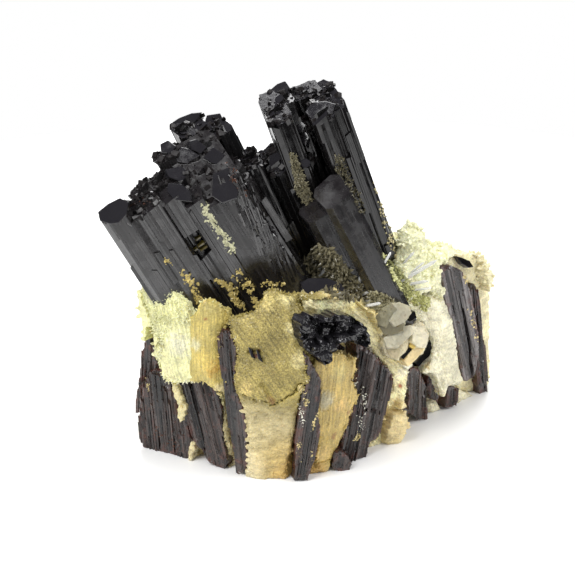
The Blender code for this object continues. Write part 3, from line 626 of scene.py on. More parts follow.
def hubnerite_material(name, dark, light, end_colour, rust, rough, ior, lines, depth, spread=0.15):
    """Black to brown hubnerite, glossy along its sides and finely broken at its ends."""
    mat, tree, shader = new_material(name)
    group = add_node(tree, "ShaderNodeGroup", node_tree=growth, Lines=lines, Facets=2.0)
    shade = ramp(tree, group.outputs["Shade"], [(0.27 - spread, dark), (0.27 + spread, light)])
    colour = mixed(tree, "MIX", group.outputs["Ended"], shade, end_colour)
    place = add_node(tree, "ShaderNodeTexCoord").outputs["Object"]
    blotches = add_node(tree, "ShaderNodeTexNoise", Vector=place, Scale=900.0, Detail=5.0, Roughness=0.7)
    reach = add_node(tree, "ShaderNodeMath", operation="MULTIPLY_ADD")
    tree.links.new(group.outputs["Worn"], reach.inputs[0])
    reach.inputs[1].default_value = 0.16
    tree.links.new(blotches.outputs["Fac"], reach.inputs[2])
    rusty = ramp(tree, reach.outputs[0], [(1.0 - rust, 0.0), (min(1.0, 1.14 - rust), 0.7)])
    colour = mixed(tree, "MIX", rusty, colour, RUST_STAIN)
    polish = ramp(tree, group.outputs["Rough"], [(0.40, rough), (0.62, rough + 0.14)])
    bump = add_node(tree, "ShaderNodeBump", Height=group.outputs["Height"], Distance=depth)
    tree.links.new(colour, shader.inputs["Base Color"])
    tree.links.new(polish, shader.inputs["Roughness"])
    tree.links.new(bump.outputs["Normal"], shader.inputs["Normal"])
    shader.inputs["IOR"].default_value = ior
    return mat


black_hubnerite = hubnerite_material("black_hubnerite", (0.005, 0.0045, 0.005), (0.018, 0.016, 0.016),
                                     (0.012, 0.010, 0.011), 0.28, 0.18, 1.85, 3.5, 0.010 * MM, 0.10)
jet_hubnerite = hubnerite_material("jet_hubnerite", (0.003, 0.003, 0.003), (0.009, 0.008, 0.008),
                                   (0.018, 0.017, 0.020), 0.26, 0.08, 1.60, 3.5, 0.008 * MM)


crumbled_hubnerite = hubnerite_material("crumbled_hubnerite", (0.003, 0.002, 0.002), (0.012, 0.009, 0.009),
                                        (0.012, 0.009, 0.009), 0.34, 0.30, 1.70, 3.5, 0.02 * MM)


def finish_crystal(piece, matrix, mat):
    piece.data.materials.clear()
    piece.data.materials.append(mat)
    set_growth(piece, matrix)
    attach(piece, "root")


crystals = {}
for name, (matrix, foot, turn, steps, slats, seed, columns) in PRISMS.items():
    rng = random.Random(seed)
    parts = []
    for u, w, half_u, half_w, top, dip_u, dip_w, corner, relief in columns:
        parts.append(ribbed_column(rng, matrix, (u, w), (half_u, half_w), foot, top, (dip_u, dip_w), corner,
                                   turn + rng.uniform(-1.5, 1.5), COLUMN_RIB, relief))
    parts += end_steps(rng, matrix, columns, steps, foot)
    parts += side_slats(rng, matrix, columns, slats, foot)
    if name == "prism_main":
        parts += pit_walls(rng, matrix, foot) + [oblique_ridges(matrix)]
    mat = black_hubnerite if name == "prism_main" else jet_hubnerite
    crystals[name] = joined(parts, name)
    finish_crystal(crystals[name], matrix, mat)
    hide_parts("crystal_group")
    crumbs = end_crumbs(name.replace("prism", "crumbs"), np.random.default_rng(seed), matrix, columns, steps * 5)
    finish_crystal(crumbs, matrix, crumbled_hubnerite)

# The clean facets of the ends: (outline in pixels, direction that it faces). They stand out of the crumbs.
END_FACETS = {
    "facets_main": (jet_hubnerite, [
        ([(175, 155), (181, 147), (190, 149), (200, 156), (187, 164), (177, 162)], (-0.20, -0.85, 0.45)),
        ([(203, 158), (213, 147), (225, 155), (218, 165), (211, 163)], (0.10, -0.85, 0.52)),
        ([(189, 141), (196, 139), (207, 147), (201, 154), (192, 150)], (0.25, -0.80, 0.50)),
        ([(165, 169), (181, 166), (190, 173), (183, 182), (169, 177)], (0.05, -0.45, 0.90)),
        ([(168, 183), (181, 184), (190, 192), (192, 202), (174, 200), (167, 192)], (-0.10, -0.90, 0.38)),
        ([(213, 174), (229, 167), (231, 181), (239, 192), (237, 198), (222, 203), (212, 196)], (0.0, -0.87, 0.49)),
        ([(98, 212), (108, 204), (120, 198), (129, 203), (127, 214), (119, 223), (110, 224), (100, 221)],
         (0.05, -0.92, 0.38)),
        ([(160, 144), (168, 140), (176, 146), (171, 153), (161, 153)], (-0.35, -0.62, 0.70)),
    ]),
    "facets_back": (jet_hubnerite, [
        ([(204, 126), (207, 115), (220, 113), (223, 119), (212, 127)], (0.10, -0.82, 0.55)),
        ([(170, 124), (179, 118), (192, 113), (202, 112), (196, 121), (183, 131), (173, 131)], (-0.04, -0.88, 0.47)),
        ([(269, 156), (278, 152), (284, 162), (277, 172), (269, 170)], (-0.15, -0.92, 0.35)),
    ]),
    "facets_tall": (jet_hubnerite, [
        ([(267, 98), (270, 90), (277, 84), (285, 81), (289, 87), (286, 97), (279, 104), (271, 104)],
         (-0.12, -0.86, 0.49)),
        ([(305, 112), (310, 105), (316, 102), (325, 101), (336, 104), (333, 113), (320, 119), (311, 119)],
         (-0.17, -0.83, 0.53)),
        ([(300, 161), (306, 158), (311, 162), (308, 168), (302, 167)], (-0.08, -0.88, 0.46)),
        ([(295, 127), (301, 121), (306, 125), (303, 133), (296, 134)], (-0.24, -0.76, 0.58)),
        ([(299, 136), (306, 131), (309, 137), (306, 146), (300, 142)], (-0.22, -0.76, 0.58)),
    ]),
}


def end_facet(outline, outward, carriers, ahead, wall):
    """A sharp block whose front is one clean facet with the outline that the camera sees."""
    out = Vector(outward).normalized()
    tries = [np.mean(outline, axis=0), *outline]
    hits = [hit for hit in (seen_at(pixel, carriers) for pixel in tries) if hit is not None]
    point = hits[0][0] + out * ahead * MM
    bpy.ops.object.select_all(action="DESELECT")
    bpy.ops.mesh.primitive_circle_add(vertices=len(outline), radius=1.0, fill_type="NGON")
    block_piece = bpy.context.object
    for vert, pixel in zip(block_piece.data.vertices, outline):
        vert.co = on_plane(pixel, point, out)
    bpy.ops.object.mode_set(mode="EDIT")
    bpy.ops.mesh.extrude_region_move(TRANSFORM_OT_translate={"value": out * (-wall * MM)})
    bpy.ops.mesh.select_all(action="SELECT")
    bpy.ops.mesh.normals_make_consistent(inside=False)
    bpy.ops.mesh.bevel(offset=0.06 * MM, segments=1, affect="EDGES")
    bpy.ops.object.mode_set(mode="OBJECT")
    return block_piece


for name, (mat, facets) in END_FACETS.items():
    grown_on = list(crystals.values())
    facet_piece = joined([end_facet(outline, outward, grown_on, 0.3, 1.6) for outline, outward in facets], name)
    finish_crystal(facet_piece, PRISMS["prism_main"][0], mat)

# The olive bars in the pit: bits of hubnerite thin enough for light to pass.
PIT_BARS = [(0.95, -3.25, 6.9, 1.0), (0.90, -3.30, 7.5, 0.9), (1.0, -3.20, 8.3, 0.7), (0.1, -3.2, 7.3, 0.5)]
matrix = PRISMS["prism_main"][0]
bars = []
for at_u, at_w, height, width in PIT_BARS:
    bars.append(ribbed_column(random.Random(9), matrix, (at_u, at_w), (width / 2, 0.35), height, height + 0.22,
                              (0.15, 0.1), 0.2, 0.0, 2.0, 0.0))
olive_hubnerite = hubnerite_material("olive_hubnerite", (0.06, 0.045, 0.010), (0.22, 0.17, 0.04),
                                     (0.16, 0.13, 0.03), 0.2, 0.15, 1.7, 3.5, 0.008 * MM)
finish_crystal(joined(bars, "pit_bars"), matrix, olive_hubnerite)

# The gem prism and the small crystal in the pocket before it. The gem prism is the clean, sharply faced crystal in
# the middle, with one bright slanting end face. The pocket crystal is a black stub.
GEM_PRISMS = {
    "gem_prism": ("gem_crystal", stand((12.6, -0.3, 14.0), (-0.457, -0.08, 1.0)), -3.0, 12.0, 5, [
        (0.10, -0.5, 1.85, 1.9, 18.8, 0.10, 0.42, 0.36, 0.012),
        (-2.55, 0.1, 1.60, 1.6, 17.4, -0.05, 0.30, 0.36, 0.012),
    ]),
    "pocket_prism": ("pocket_crystal", stand((5.5, -3.8, 17.2), (-0.22, -0.12, 1.0)), -1.5, 0.0, 6, [
        (-0.4, 0.0, 1.5, 0.9, 3.0, -0.12, 0.10, 0.35, 0.02),
        (0.9, 0.1, 0.7, 0.8, 2.3, -0.60, 0.05, 0.30, 0.02),
    ]),
}
for name, (node, matrix, foot, turn, seed, columns) in GEM_PRISMS.items():
    rng = random.Random(seed)
    parts = []
    for u, w, half_u, half_w, top, dip_u, dip_w, corner, relief in columns:
        parts.append(ribbed_column(rng, matrix, (u, w), (half_u, half_w), foot, top, (dip_u, dip_w), corner,
                                   turn + rng.uniform(-1.5, 1.5), 0.7, relief))
    crystals[name] = joined(parts, name)
    finish_crystal(crystals[name], matrix, black_hubnerite)
    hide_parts(node)

# The blades round the flanks. They are broken slabs of the same mineral, cleaved along their length, duller and
# browner than the prisms, and rusty at their edges. Those in front have the outlines that the camera sees.
LEFT_FLANK = Vector((0.498, 0.867, 0.0))
FRONT_FLANK = Vector((-0.25, 0.968, 0.0))
RIGHT_FLANK = Vector((-0.60, 0.80, 0.0))
FAR_RIGHT_FLANK = Vector((-0.673, 0.740, 0.0))
BACK_FLANK = Vector((0.0, -1.0, 0.0))
BACK_RIGHT_FLANK = Vector((-0.80, -0.60, 0.0))
BACK_LEFT_FLANK = Vector((0.75, -0.66, 0.0))
LEFT_END = Vector((0.93, 0.37, 0.0))
PLATE_SKIN = 0.13 * MM

# name: (node, foot, lean, flank, half of the wall, seed, outline in pixels)
SLABS = {
    "slab_left_edge": ("blade_left_edge", (-15.5, -2.6, 8.6), (0.02, 0.0, 1.0), LEFT_FLANK, 0.7, 11, [
        (148, 322), (152, 330), (154, 345), (153, 356), (158, 361), (160, 376), (151, 377), (144, 377), (142, 392),
        (140, 412), (136, 414), (137, 396), (139, 380), (141, 365), (143, 350), (146, 334)]),
    "slab_left": ("blade_left", (-13.9, -4.9, 0.0), (-0.08, 0.10, 1.0), LEFT_FLANK, 1.0, 12, [
        (146, 377), (152, 370), (162, 370), (166, 376), (175, 378), (174, 390), (177, 398), (181, 406), (179, 416),
        (178, 426), (182, 432), (185, 438), (187, 447), (184, 453), (172, 454), (165, 453), (158, 452), (150, 449),
        (143, 447), (141, 441), (139, 430), (139, 415), (141, 400), (143, 388)]),
    "slab_left_inner": ("blade_left_inner", (-8.7, -7.9, 0.0), (-0.24, 0.16, 1.0), LEFT_FLANK, 1.1, 13, [
        (178, 378), (190, 374), (205, 376), (213, 384), (218, 392), (221, 408), (222, 418), (222, 430), (224, 442),
        (225, 452), (227, 463), (224, 469), (219, 467), (212, 463), (206, 459), (203, 450), (200, 449), (195, 443),
        (191, 438), (188, 428), (185, 418), (182, 406), (178, 398), (175, 388)]),
    "slab_tail": ("blade_left", (-11.6, -6.2, 0.0), (-0.10, 0.12, 1.0), LEFT_FLANK, 0.9, 29, [
        (176, 418), (181, 411), (186, 420), (189, 431), (193, 443), (190, 452), (186, 463), (178, 462), (172, 455),
        (176, 446), (182, 438), (178, 428)]),
    "slab_narrow": ("blade_narrow", (-5.3, -10.5, 0.0), (-0.09, 0.07, 1.0), LEFT_FLANK, 0.9, 14, [
        (222, 328), (229, 331), (234, 340), (237, 350), (236, 362), (235, 375), (236, 390), (240, 400), (244, 412),
        (246, 425), (247, 440), (248, 455), (246, 469), (241, 473), (237, 470), (235, 458), (233, 445), (231, 432),
        (227, 420), (225, 405), (225, 390), (221, 375), (219, 360), (218, 345), (218, 335)]),
    "slab_front": ("blade_front", (1.3, -12.3, 0.0), (0.15, 0.08, 1.0), FRONT_FLANK, 0.9, 15, [
        (303, 352), (308, 357), (313, 366), (318, 374), (321, 381), (321, 393), (319, 405), (318, 415), (320, 427),
        (319, 440), (317, 450), (314, 461), (311, 469), (307, 481), (295, 481), (296, 466), (295, 450), (296, 436),
        (298, 424), (299, 410), (301, 396), (305, 386), (307, 380), (304, 370), (302, 361)]),
    "slab_right": ("blade_right", (8.3, -5.9, 1.0), (0.17, 0.19, 1.0), RIGHT_FLANK, 1.2, 16, [
        (357, 345), (363, 345), (370, 351), (376, 357), (382, 363), (388, 368), (392, 373), (393, 381), (391, 391),
        (388, 401), (386, 411), (383, 421), (381, 431), (377, 438), (371, 442), (368, 450), (365, 458), (358, 459),
        (352, 465), (349, 472), (344, 474), (338, 471), (333, 468), (335, 460), (339, 452), (341, 444), (344, 434),
        (348, 426), (350, 418), (353, 409), (355, 402), (357, 396), (354, 388), (353, 381), (355, 376), (357, 368),
        (357, 356)]),
    "slab_right_foot": ("blade_right_foot", (5.9, -9.5, 0.0), (0.10, 0.10, 1.0), FRONT_FLANK, 0.9, 17, [
        (334, 452), (341, 450), (348, 456), (352, 464), (349, 473), (344, 474), (337, 470), (332, 467)]),
    "slab_low_right": ("blade_low_right", (15.3, 3.4, 0.0), (0.02, 0.0, 1.0), FAR_RIGHT_FLANK, 1.1, 19, [
        (409, 369), (414, 367), (419, 370), (423, 377), (426, 384), (428, 391), (426, 397), (427, 408), (428, 419),
        (420, 419), (414, 417), (411, 413), (403, 413), (396, 416), (399, 411), (407, 408), (409, 398), (408, 386),
        (406, 377)]),
    "slab_low_splinter": ("blade_low_splinter", (17.75, 5.45, 1.8), (-0.12, -0.05, 1.0), FAR_RIGHT_FLANK, 0.6, 20, [
        (431, 374), (434, 379), (436, 388), (440, 397), (438, 401), (432, 400), (429, 392), (428, 381)]),
    "slab_low_stub": ("blade_low_stub", (19.0, 6.4, 0.0), (0.03, 0.0, 1.0), FAR_RIGHT_FLANK, 0.9, 21, [
        (447, 387), (453, 385), (459, 390), (458, 403), (451, 407), (445, 409), (448, 398)]),
    "slab_far_right": ("blade_far_right", (21.3, 8.7, 2.6), (-0.20, -0.16, 1.0), FAR_RIGHT_FLANK, 1.0, 22, [
        (440, 265), (450, 266), (461, 270), (466, 281), (470, 294), (473, 308), (476, 322), (478, 338), (479, 352),
        (476, 364), (475, 376), (468, 382), (463, 380), (460, 368), (459, 355), (456, 340), (452, 325), (448, 308),
        (444, 296), (442, 282)]),
    "slab_far_right_outer": ("blade_far_right_outer", (22.9, 10.6, 0.4), (-0.10, -0.06, 1.0), FAR_RIGHT_FLANK, 0.8,
                             23, [
        (471, 283), (475, 285), (479, 296), (480, 311), (482, 328), (484, 345), (486, 360), (488, 376), (487, 391),
        (484, 396), (481, 395), (478, 384), (476, 368), (476, 350), (477, 335), (476, 320), (473, 306), (470, 294)]),
}


def ragged(rng, outline, step, jitter):
    """An outline with more points along its sides, each moved a little, so that its edge looks broken."""
    points = []
    for start, end in zip(outline, outline[1:] + outline[:1]):
        start, end = Vector(start), Vector(end)
        parts = max(1, round((end - start).length / step))
        for part in range(parts):
            points.append(start.lerp(end, part / parts) + Vector((rng.uniform(-1, 1), rng.uniform(-1, 1))) * jitter)
    return points


def plate_frame(origin, outward, along):
    """The frame of a plate, in mm: across its lines, out of its face, along its lines."""
    out = Vector(outward).normalized()
    along = (along - along.dot(out) * out).normalized()
    turn = Matrix((out.cross(along), out, along)).transposed().to_4x4()
    return Matrix.Translation(origin) @ turn @ Matrix.Scale(MM, 4)


def out_of(matrix):
    return (matrix.to_3x3() @ Vector((0, 1, 0))).normalized()


def plate(name, matrix, wall, outline):
    """A plate with the outline that the camera sees, wrapped in a fine skin."""
    origin, out = matrix.translation, out_of(matrix)
    bpy.ops.object.select_all(action="DESELECT")
    bpy.ops.mesh.primitive_circle_add(vertices=len(outline), radius=1.0, fill_type="NGON")
    sheet = bpy.context.object
    sheet.name = name
    sheet.data.name = name
    for vert, pixel in zip(sheet.data.vertices, outline):
        vert.co = on_plane(pixel, origin, out)
    bpy.ops.object.mode_set(mode="EDIT")
    bpy.ops.mesh.extrude_region_move(TRANSFORM_OT_translate={"value": out * (-wall * MM)})
    bpy.ops.mesh.select_all(action="SELECT")
    bpy.ops.mesh.normals_make_consistent(inside=False)
    bpy.ops.object.mode_set(mode="OBJECT")
    apply_modifier(sheet, "REMESH", mode="VOXEL", voxel_size=PLATE_SKIN)
    return sheet


def local_points(piece, matrix):
    points = np.column_stack([points_of(piece), np.ones(len(piece.data.vertices))])
    return (points @ np.array(matrix.inverted()).T)[:, :3]


def away_from(points, line):
    """How far each point of a plate is from a line of points in its plane, both in the plate's own mm."""
    nearest = np.full(len(points), 1e9)
    flat = points[:, [0, 2]]
    for start, end in zip(line, line[1:]):
        side = end - start
        share = np.clip(((flat - start) @ side) / max(side @ side, 1e-12), 0, 1)
        nearest = np.minimum(nearest, np.linalg.norm(flat - start - share[:, None] * side, axis=1))
    return nearest


def line_in(matrix, pixels):
    """The points of a plate's plane that the pixels show, in its own mm."""
    inverse = matrix.inverted()
    found = [inverse @ on_plane(pixel, matrix.translation, out_of(matrix)) for pixel in pixels]
    return np.array([(point.x, point.z) for point in found])


def push(piece, matrix, amounts):
    """Moves each point out of the plate's face by its own amount in mm, but never below the floor."""
    points = points_of(piece) + np.array(out_of(matrix))[None] * (amounts * MM)[:, None]
    points[:, 2] = np.maximum(points[:, 2], 0.0)
    set_points(piece, points)


def doming(piece, matrix, outline, height, reach):
    """Rounds a plate's face off towards its edge."""
    local = local_points(piece, matrix)
    edge = away_from(local, line_in(matrix, outline + outline[:1]))
    face = local[:, 1] > -0.3
    push(piece, matrix, np.where(face, height * (1 - np.exp(-edge / reach)), 0.0))


def dent(piece, matrix, pixels, reach, depth):
    """Presses a hollow, or with a negative depth a ridge, along a line of pixels into a plate's face."""
    local = local_points(piece, matrix)
    apart = away_from(local, line_in(matrix, pixels + pixels[-1:]))
    face = local[:, 1] > -0.6
    push(piece, matrix, np.where(face, -depth * np.exp(-(apart / reach) ** 2), 0.0))


def striate(piece, matrix, fine, coarse, seed):
    """Fine lines and low terraces that run along a plate."""
    drawn = local_points(piece, matrix) * (1.0, 1.0, 0.05)
    lines = rolling(drawn, 0.42, 2, seed) * fine
    terraces = np.round(rolling(drawn, 1.5, 2, seed + 1) * 3) / 3 * coarse
    push(piece, matrix, lines + terraces)


def set_worn(piece, matrix, outline, reach):
    """Marks the points near a plate's edge, where it is rusty."""
    edge = away_from(local_points(piece, matrix), line_in(matrix, outline + outline[:1]))
    layer = piece.data.attributes.new("worn", "FLOAT", "POINT")
    layer.data.foreach_set("value", np.clip(1.0 - edge / reach, 0, 1))


def tuck(matrix, outline, depth):
    """Presses the quartz back behind a plate, so that it closes up to the plate but never covers it."""
    points = points_of(lump)
    out = np.array(out_of(matrix))
    ahead = (points - np.array(matrix.translation)) @ out
    over = inside(pixels_of(points), outline) & (ahead > -depth * MM) & (ahead < 5 * MM)
    points[over] -= out[None] * (ahead[over] + depth * MM)[:, None]
    points[:, 2] = np.maximum(points[:, 2], 0.0)
    set_points(lump, points)


def splinters(rng, matrix, outline, count):
    """Long thin splinters of a blade's face, which run along it and end inside its outline."""
    inverse = matrix.inverted()
    corners = np.array(outline)
    low, high = corners.min(axis=0), corners.max(axis=0)
    places, sizes = [], []
    while len(places) < count:
        pixel = (rng.uniform(low[0], high[0]), rng.uniform(low[1], high[1]))
        if not inside(np.array([pixel]), outline)[0]:
            continue
        middle = inverse @ on_plane(pixel, matrix.translation, out_of(matrix))
        ends = []
        for way in (-1, 1):
            reach, limit = 0.2, rng.uniform(0.5, 4.5)
            while reach < limit:
                beyond = matrix @ (middle + Vector((0, 0, way * (reach + 0.5))))
                if not inside(pixels_of(np.array([beyond])), outline)[0]:
                    break
                reach += 0.3
            ends.append(middle.z + way * reach)
        places.append(matrix @ Vector((middle.x, 0.0, sum(ends) / 2)))
        sizes.append((rng.uniform(0.06, 0.30) * MM, rng.uniform(0.10, 0.34) * MM, (ends[1] - ends[0]) * MM))
    along = matrix.to_3x3() @ Vector((0, 0, 1))
    spins = np.array([rng.uniform(-0.4, 0.4) for _ in places])
    return repeated("splinters", sliver, np.array(places), np.tile(along, (count, 1)), np.array(sizes), spins, 0.0)


brown_hubnerite = hubnerite_material("brown_hubnerite", (0.005, 0.004, 0.004), (0.066, 0.046, 0.040),
                                     (0.030, 0.017, 0.014), 0.41, 0.22, 1.66, 4.6, 0.035 * MM, 0.08)
# The far right blade's lighter grey is painted sheen: a brighter copy of the brown hubnerite over its real streaks.
sheen_painted_hubnerite = hubnerite_material("sheen_painted_hubnerite", (0.010, 0.007, 0.007), (0.17, 0.15, 0.145),
                                    (0.05, 0.03, 0.025), 0.40, 0.24, 1.70, 3.4, 0.035 * MM, 0.09)
covered = []
for name, (node, foot, lean, flank, half, seed, outline) in SLABS.items():
    rng = random.Random(seed)
    upright = stand(foot, lean, flank)
    matrix = plate_frame(upright @ Vector((0, -half, 0)), upright.to_3x3() @ Vector((0, -1, 0)),
                         upright.to_3x3() @ Vector((0, 0, 1)))
    slab = plate(name, matrix, 2 * half, ragged(rng, outline, 3.5, 0.7))
    striate(slab, matrix, 0.07, 0.20, seed)
    roughen(slab, 0.05 * MM, 0.8 * MM, 3, seed + 3)
    if name == "slab_right":
        dent(slab, matrix, [(354, 407), (362, 410), (372, 410), (380, 413), (388, 411)], 0.12, 0.7)
        dent(slab, matrix, [(361, 350), (368, 362), (364, 392), (358, 402)], 0.14, 0.5)
        dent(slab, matrix, [(346, 449), (356, 441)], 0.12, 0.5)
    if name == "slab_left":
        dent(slab, matrix, [(159, 431), (158, 452)], 0.14, 0.8)
    if name == "slab_left_inner":
        dent(slab, matrix, [(190, 384), (196, 408), (204, 448)], 0.16, 0.6)
    if name == "slab_far_right":
        dent(slab, matrix, [(456, 270), (462, 300), (470, 345), (472, 376)], 0.18, 0.6)
    spread_out = np.ptp(np.array(outline), axis=0)
    slab = joined([slab, splinters(rng, matrix, outline, round(6 + spread_out[0] * spread_out[1] / 110))], name)
    set_points(slab, np.maximum(points_of(slab), (-1.0, -1.0, 0.0)))
    set_worn(slab, matrix, outline, 0.8)
    # The far right blade takes the copy with painted sheen.
    finish_crystal(slab, matrix, sheen_painted_hubnerite if name == "slab_far_right" else brown_hubnerite)
    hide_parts(node)
    tuck(matrix, outline, 0.7)
    crystals[name] = slab
    covered.append(outline)

# The broken crystal under the arch: what is left of a prism that broke across, with a dark hollow in its middle.
BROKEN_OUTLINE = [(299, 322), (303, 317), (310, 315), (320, 317), (330, 315), (340, 314), (350, 315), (357, 320),
                  (363, 326), (367, 334), (370, 344), (364, 347), (358, 345), (352, 339), (346, 339), (342, 343),
                  (343, 351), (338, 354), (331, 355), (328, 362), (321, 364), (317, 358), (311, 354), (305, 348),
                  (302, 340), (300, 331)]
upright = stand((5.0, -8.8, 13.2), (0.12, 0.12, 1.0), RIGHT_FLANK)
matrix = plate_frame(upright @ Vector((0, -1.6, 0)), upright.to_3x3() @ Vector((0, -1, 0)),
                     upright.to_3x3() @ Vector((0, 0, 1)))
broken = plate("broken_slab", matrix, 1.3, ragged(random.Random(18), BROKEN_OUTLINE, 3.5, 0.7))
dent(broken, matrix, [(316, 330), (334, 332)], 1.1, 1.7)
local = local_points(broken, matrix)
blocks = np.array([noise.cell(Vector(point) / 0.9) for point in local]) * 0.8
push(broken, matrix, blocks + rolling(local, 1.4, 3, 18) * 0.5)
set_worn(broken, matrix, BROKEN_OUTLINE, 0.4)
finish_crystal(broken, matrix, jet_hubnerite)
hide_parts("broken_crystal")
tuck(matrix, BROKEN_OUTLINE, 2.6)
crystals["broken_slab"] = broken
covered.append(BROKEN_OUTLINE)

# The blades on the far side, which are made as bundles of flat columns like the prisms.
# node: (foot, lean, flank, columns as in a prism, seed)
BACK_BLADES = {
    "blade_back_right": ((16.8, 13.0, 0.0), (-0.12, -0.12, 1.0), BACK_RIGHT_FLANK,
                         [(-0.8, 0.0, 1.3, 1.1, 13.6, 0.3, 0.0, 0.2), (1.0, 0.2, 1.1, 1.0, 10.9, -0.4, 0.0, 0.2)], 24),
    "blade_back": ((5.2, 14.4, 0.0), (0.05, -0.10, 1.0), BACK_FLANK,
                   [(-1.0, 0.1, 1.4, 1.2, 15.4, 0.3, 0.0, 0.2), (0.9, 0.0, 1.2, 1.2, 17.0, -0.4, 0.0, 0.2)], 25),
    "blade_back_narrow": ((-0.6, 14.2, 0.6), (-0.08, -0.12, 1.0), BACK_FLANK,
                          [(0.0, 0.0, 0.8, 0.9, 12.2, 0.6, 0.0, 0.25)], 26),
    "blade_back_left": ((-8.4, 11.8, 0.0), (-0.16, -0.16, 1.0), BACK_LEFT_FLANK,
                        [(-1.0, 0.1, 1.3, 1.2, 15.2, 0.3, 0.0, 0.2), (1.0, 0.0, 1.3, 1.1, 12.9, -0.3, 0.0, 0.2)], 27),
    "blade_back_left_low": ((-14.0, 6.6, 0.0), (-0.05, 0.0, 1.0), LEFT_END,
                            [(0.0, 0.0, 1.7, 1.1, 9.4, 0.35, 0.0, 0.2)], 28),
}


def cut_level(piece):
    """Cuts a piece off flat at the floor that the specimen stands on."""
    select_only(piece)
    bpy.ops.object.mode_set(mode="EDIT")
    bpy.ops.mesh.select_all(action="SELECT")
    bpy.ops.mesh.bisect(plane_co=(0, 0, 0), plane_no=(0, 0, -1), use_fill=True, clear_outer=True, threshold=0.000001)
    bpy.ops.object.mode_set(mode="OBJECT")


for node, (foot, lean, flank, columns, seed) in BACK_BLADES.items():
    rng = random.Random(seed)
    matrix = stand(foot, lean, flank)
    parts = []
    for u, w, half_u, half_w, top, dip_u, dip_w, corner in columns:
        parts.append(ribbed_column(rng, matrix, (u, w), (half_u, half_w), -0.6, top, (dip_u, dip_w), 0.08,
                                   rng.uniform(-2, 2), 0.35, 0.035))
    parts += end_steps(rng, matrix, columns, 9 * len(columns), -0.6)
    for part in parts:
        cut_level(part)
    name = node.replace("blade", "slab")
    crystals[name] = joined(parts, name)
    finish_crystal(crystals[name], matrix, brown_hubnerite)
    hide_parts(node)

# The hollow before the main prism. The quartz lies low there, behind the crusts, so that the black face of the prism
# comes down behind their upper edges.
points = points_of(lump) / MM
x, y, z = points.T
bottom = np.maximum(15.4, 15.4 + 0.577 * (x + 5.5)) + 0.4 * rolling(points * MM, 1.6 * MM, 3, 15)
beyond = np.maximum(0.0, np.maximum(-14.0 - x, x + 0.5)) + np.maximum(0.0, y + 5.5)
points[:, 2] = np.minimum(z, bottom + 2.5 * beyond)
set_points(lump, points * MM)

# The crusts. Thin sheets of quartz grew against crystals that have since come away, so they stand off the front of
# the lump with ragged edges, and their faces keep the fine lines of the crystals that they covered.
# Painted shade: the darker colour put on the arch's inner left, where it lies in shadow.
SHADOWED = (0.42, 0.34, 0.13)
# name: (tint, a point of its plane, direction that it faces, wall, two pixels along its lines, doming, outline)
CRUSTS = {
    "crust_left": (LEMON, (-13.4, -7.4, 14.0), (-0.50, -0.86, 0.08), 1.5, ((150, 290), (170, 380)), 0.8, [
        (141, 284), (152, 283), (166, 286), (173, 291), (179, 297), (184, 305), (190, 316), (196, 330), (196, 380),
        (189, 382), (177, 383), (166, 382), (162, 372), (159, 361), (153, 354), (159, 340), (152, 329), (150, 318),
        (143, 302)]),
    "crust_wall": ((0.62, 0.50, 0.15), (-8.9, -10.0, 13.8), (-0.42, -0.90, 0.05), 1.3, ((205, 310), (206, 380)), 0.9, [
        (190, 318), (195, 314), (200, 303), (204, 301), (209, 303), (216, 307), (224, 313), (226, 322), (222, 331),
        (219, 340), (219, 352), (221, 366), (223, 382), (226, 400), (218, 393), (209, 386), (203, 382), (189, 382)]),
    "crust_centre": (OLIVE, (-2.6, -12.4, 14.6), (-0.05, -0.94, 0.32), 1.3, ((233, 337), (281, 400)), 0.3, [
        (230, 319), (238, 317), (252, 313), (260, 304), (266, 294), (273, 290), (280, 293), (289, 296), (297, 294),
        (296, 302), (300, 310), (306, 316), (301, 323), (303, 334), (304, 347), (305, 359), (304, 372), (309, 380),
        (298, 385), (294, 394), (282, 400), (273, 405), (263, 401), (251, 398), (239, 394), (236, 381), (237, 369),
        (239, 350), (233, 337)]),
    "crust_amber": (AMBER, (5.2, -9.8, 7.0), (0.55, -0.83, 0.05), 1.4, ((335, 360), (325, 450)), 0.5, [
        (321, 356), (327, 362), (332, 353), (343, 354), (348, 361), (356, 358), (356, 369), (351, 379), (355, 388),
        (358, 398), (351, 410), (348, 423), (343, 433), (339, 442), (335, 453), (329, 460), (316, 464), (317, 452),
        (321, 437), (316, 426), (316, 413), (321, 404), (321, 391), (318, 378), (311, 369)]),
    "crust_arch": ((0.98, 0.88, 0.50), (1.9, -9.6, 20.6), (0.578, -0.816, 0.0), 1.8, ((305, 306), (400, 380)), 0.45, [
        (303, 300), (311, 299), (320, 301), (330, 298), (338, 301), (345, 297), (353, 300), (360, 305), (367, 311),
        (373, 316), (376, 324), (380, 331), (381, 341), (385, 352), (391, 358), (397, 361), (402, 366), (407, 371),
        (407, 382), (406, 392), (404, 402), (398, 412), (391, 420), (387, 434), (381, 446), (373, 453), (371, 461),
        (366, 459), (370, 444), (378, 438), (382, 428), (386, 412), (389, 400), (393, 388), (393, 376),
        (388, 367), (382, 361), (375, 354), (370, 345), (368, 336), (362, 327), (355, 319), (346, 314), (335, 314),
        (322, 316), (312, 316), (305, 312)]),
}

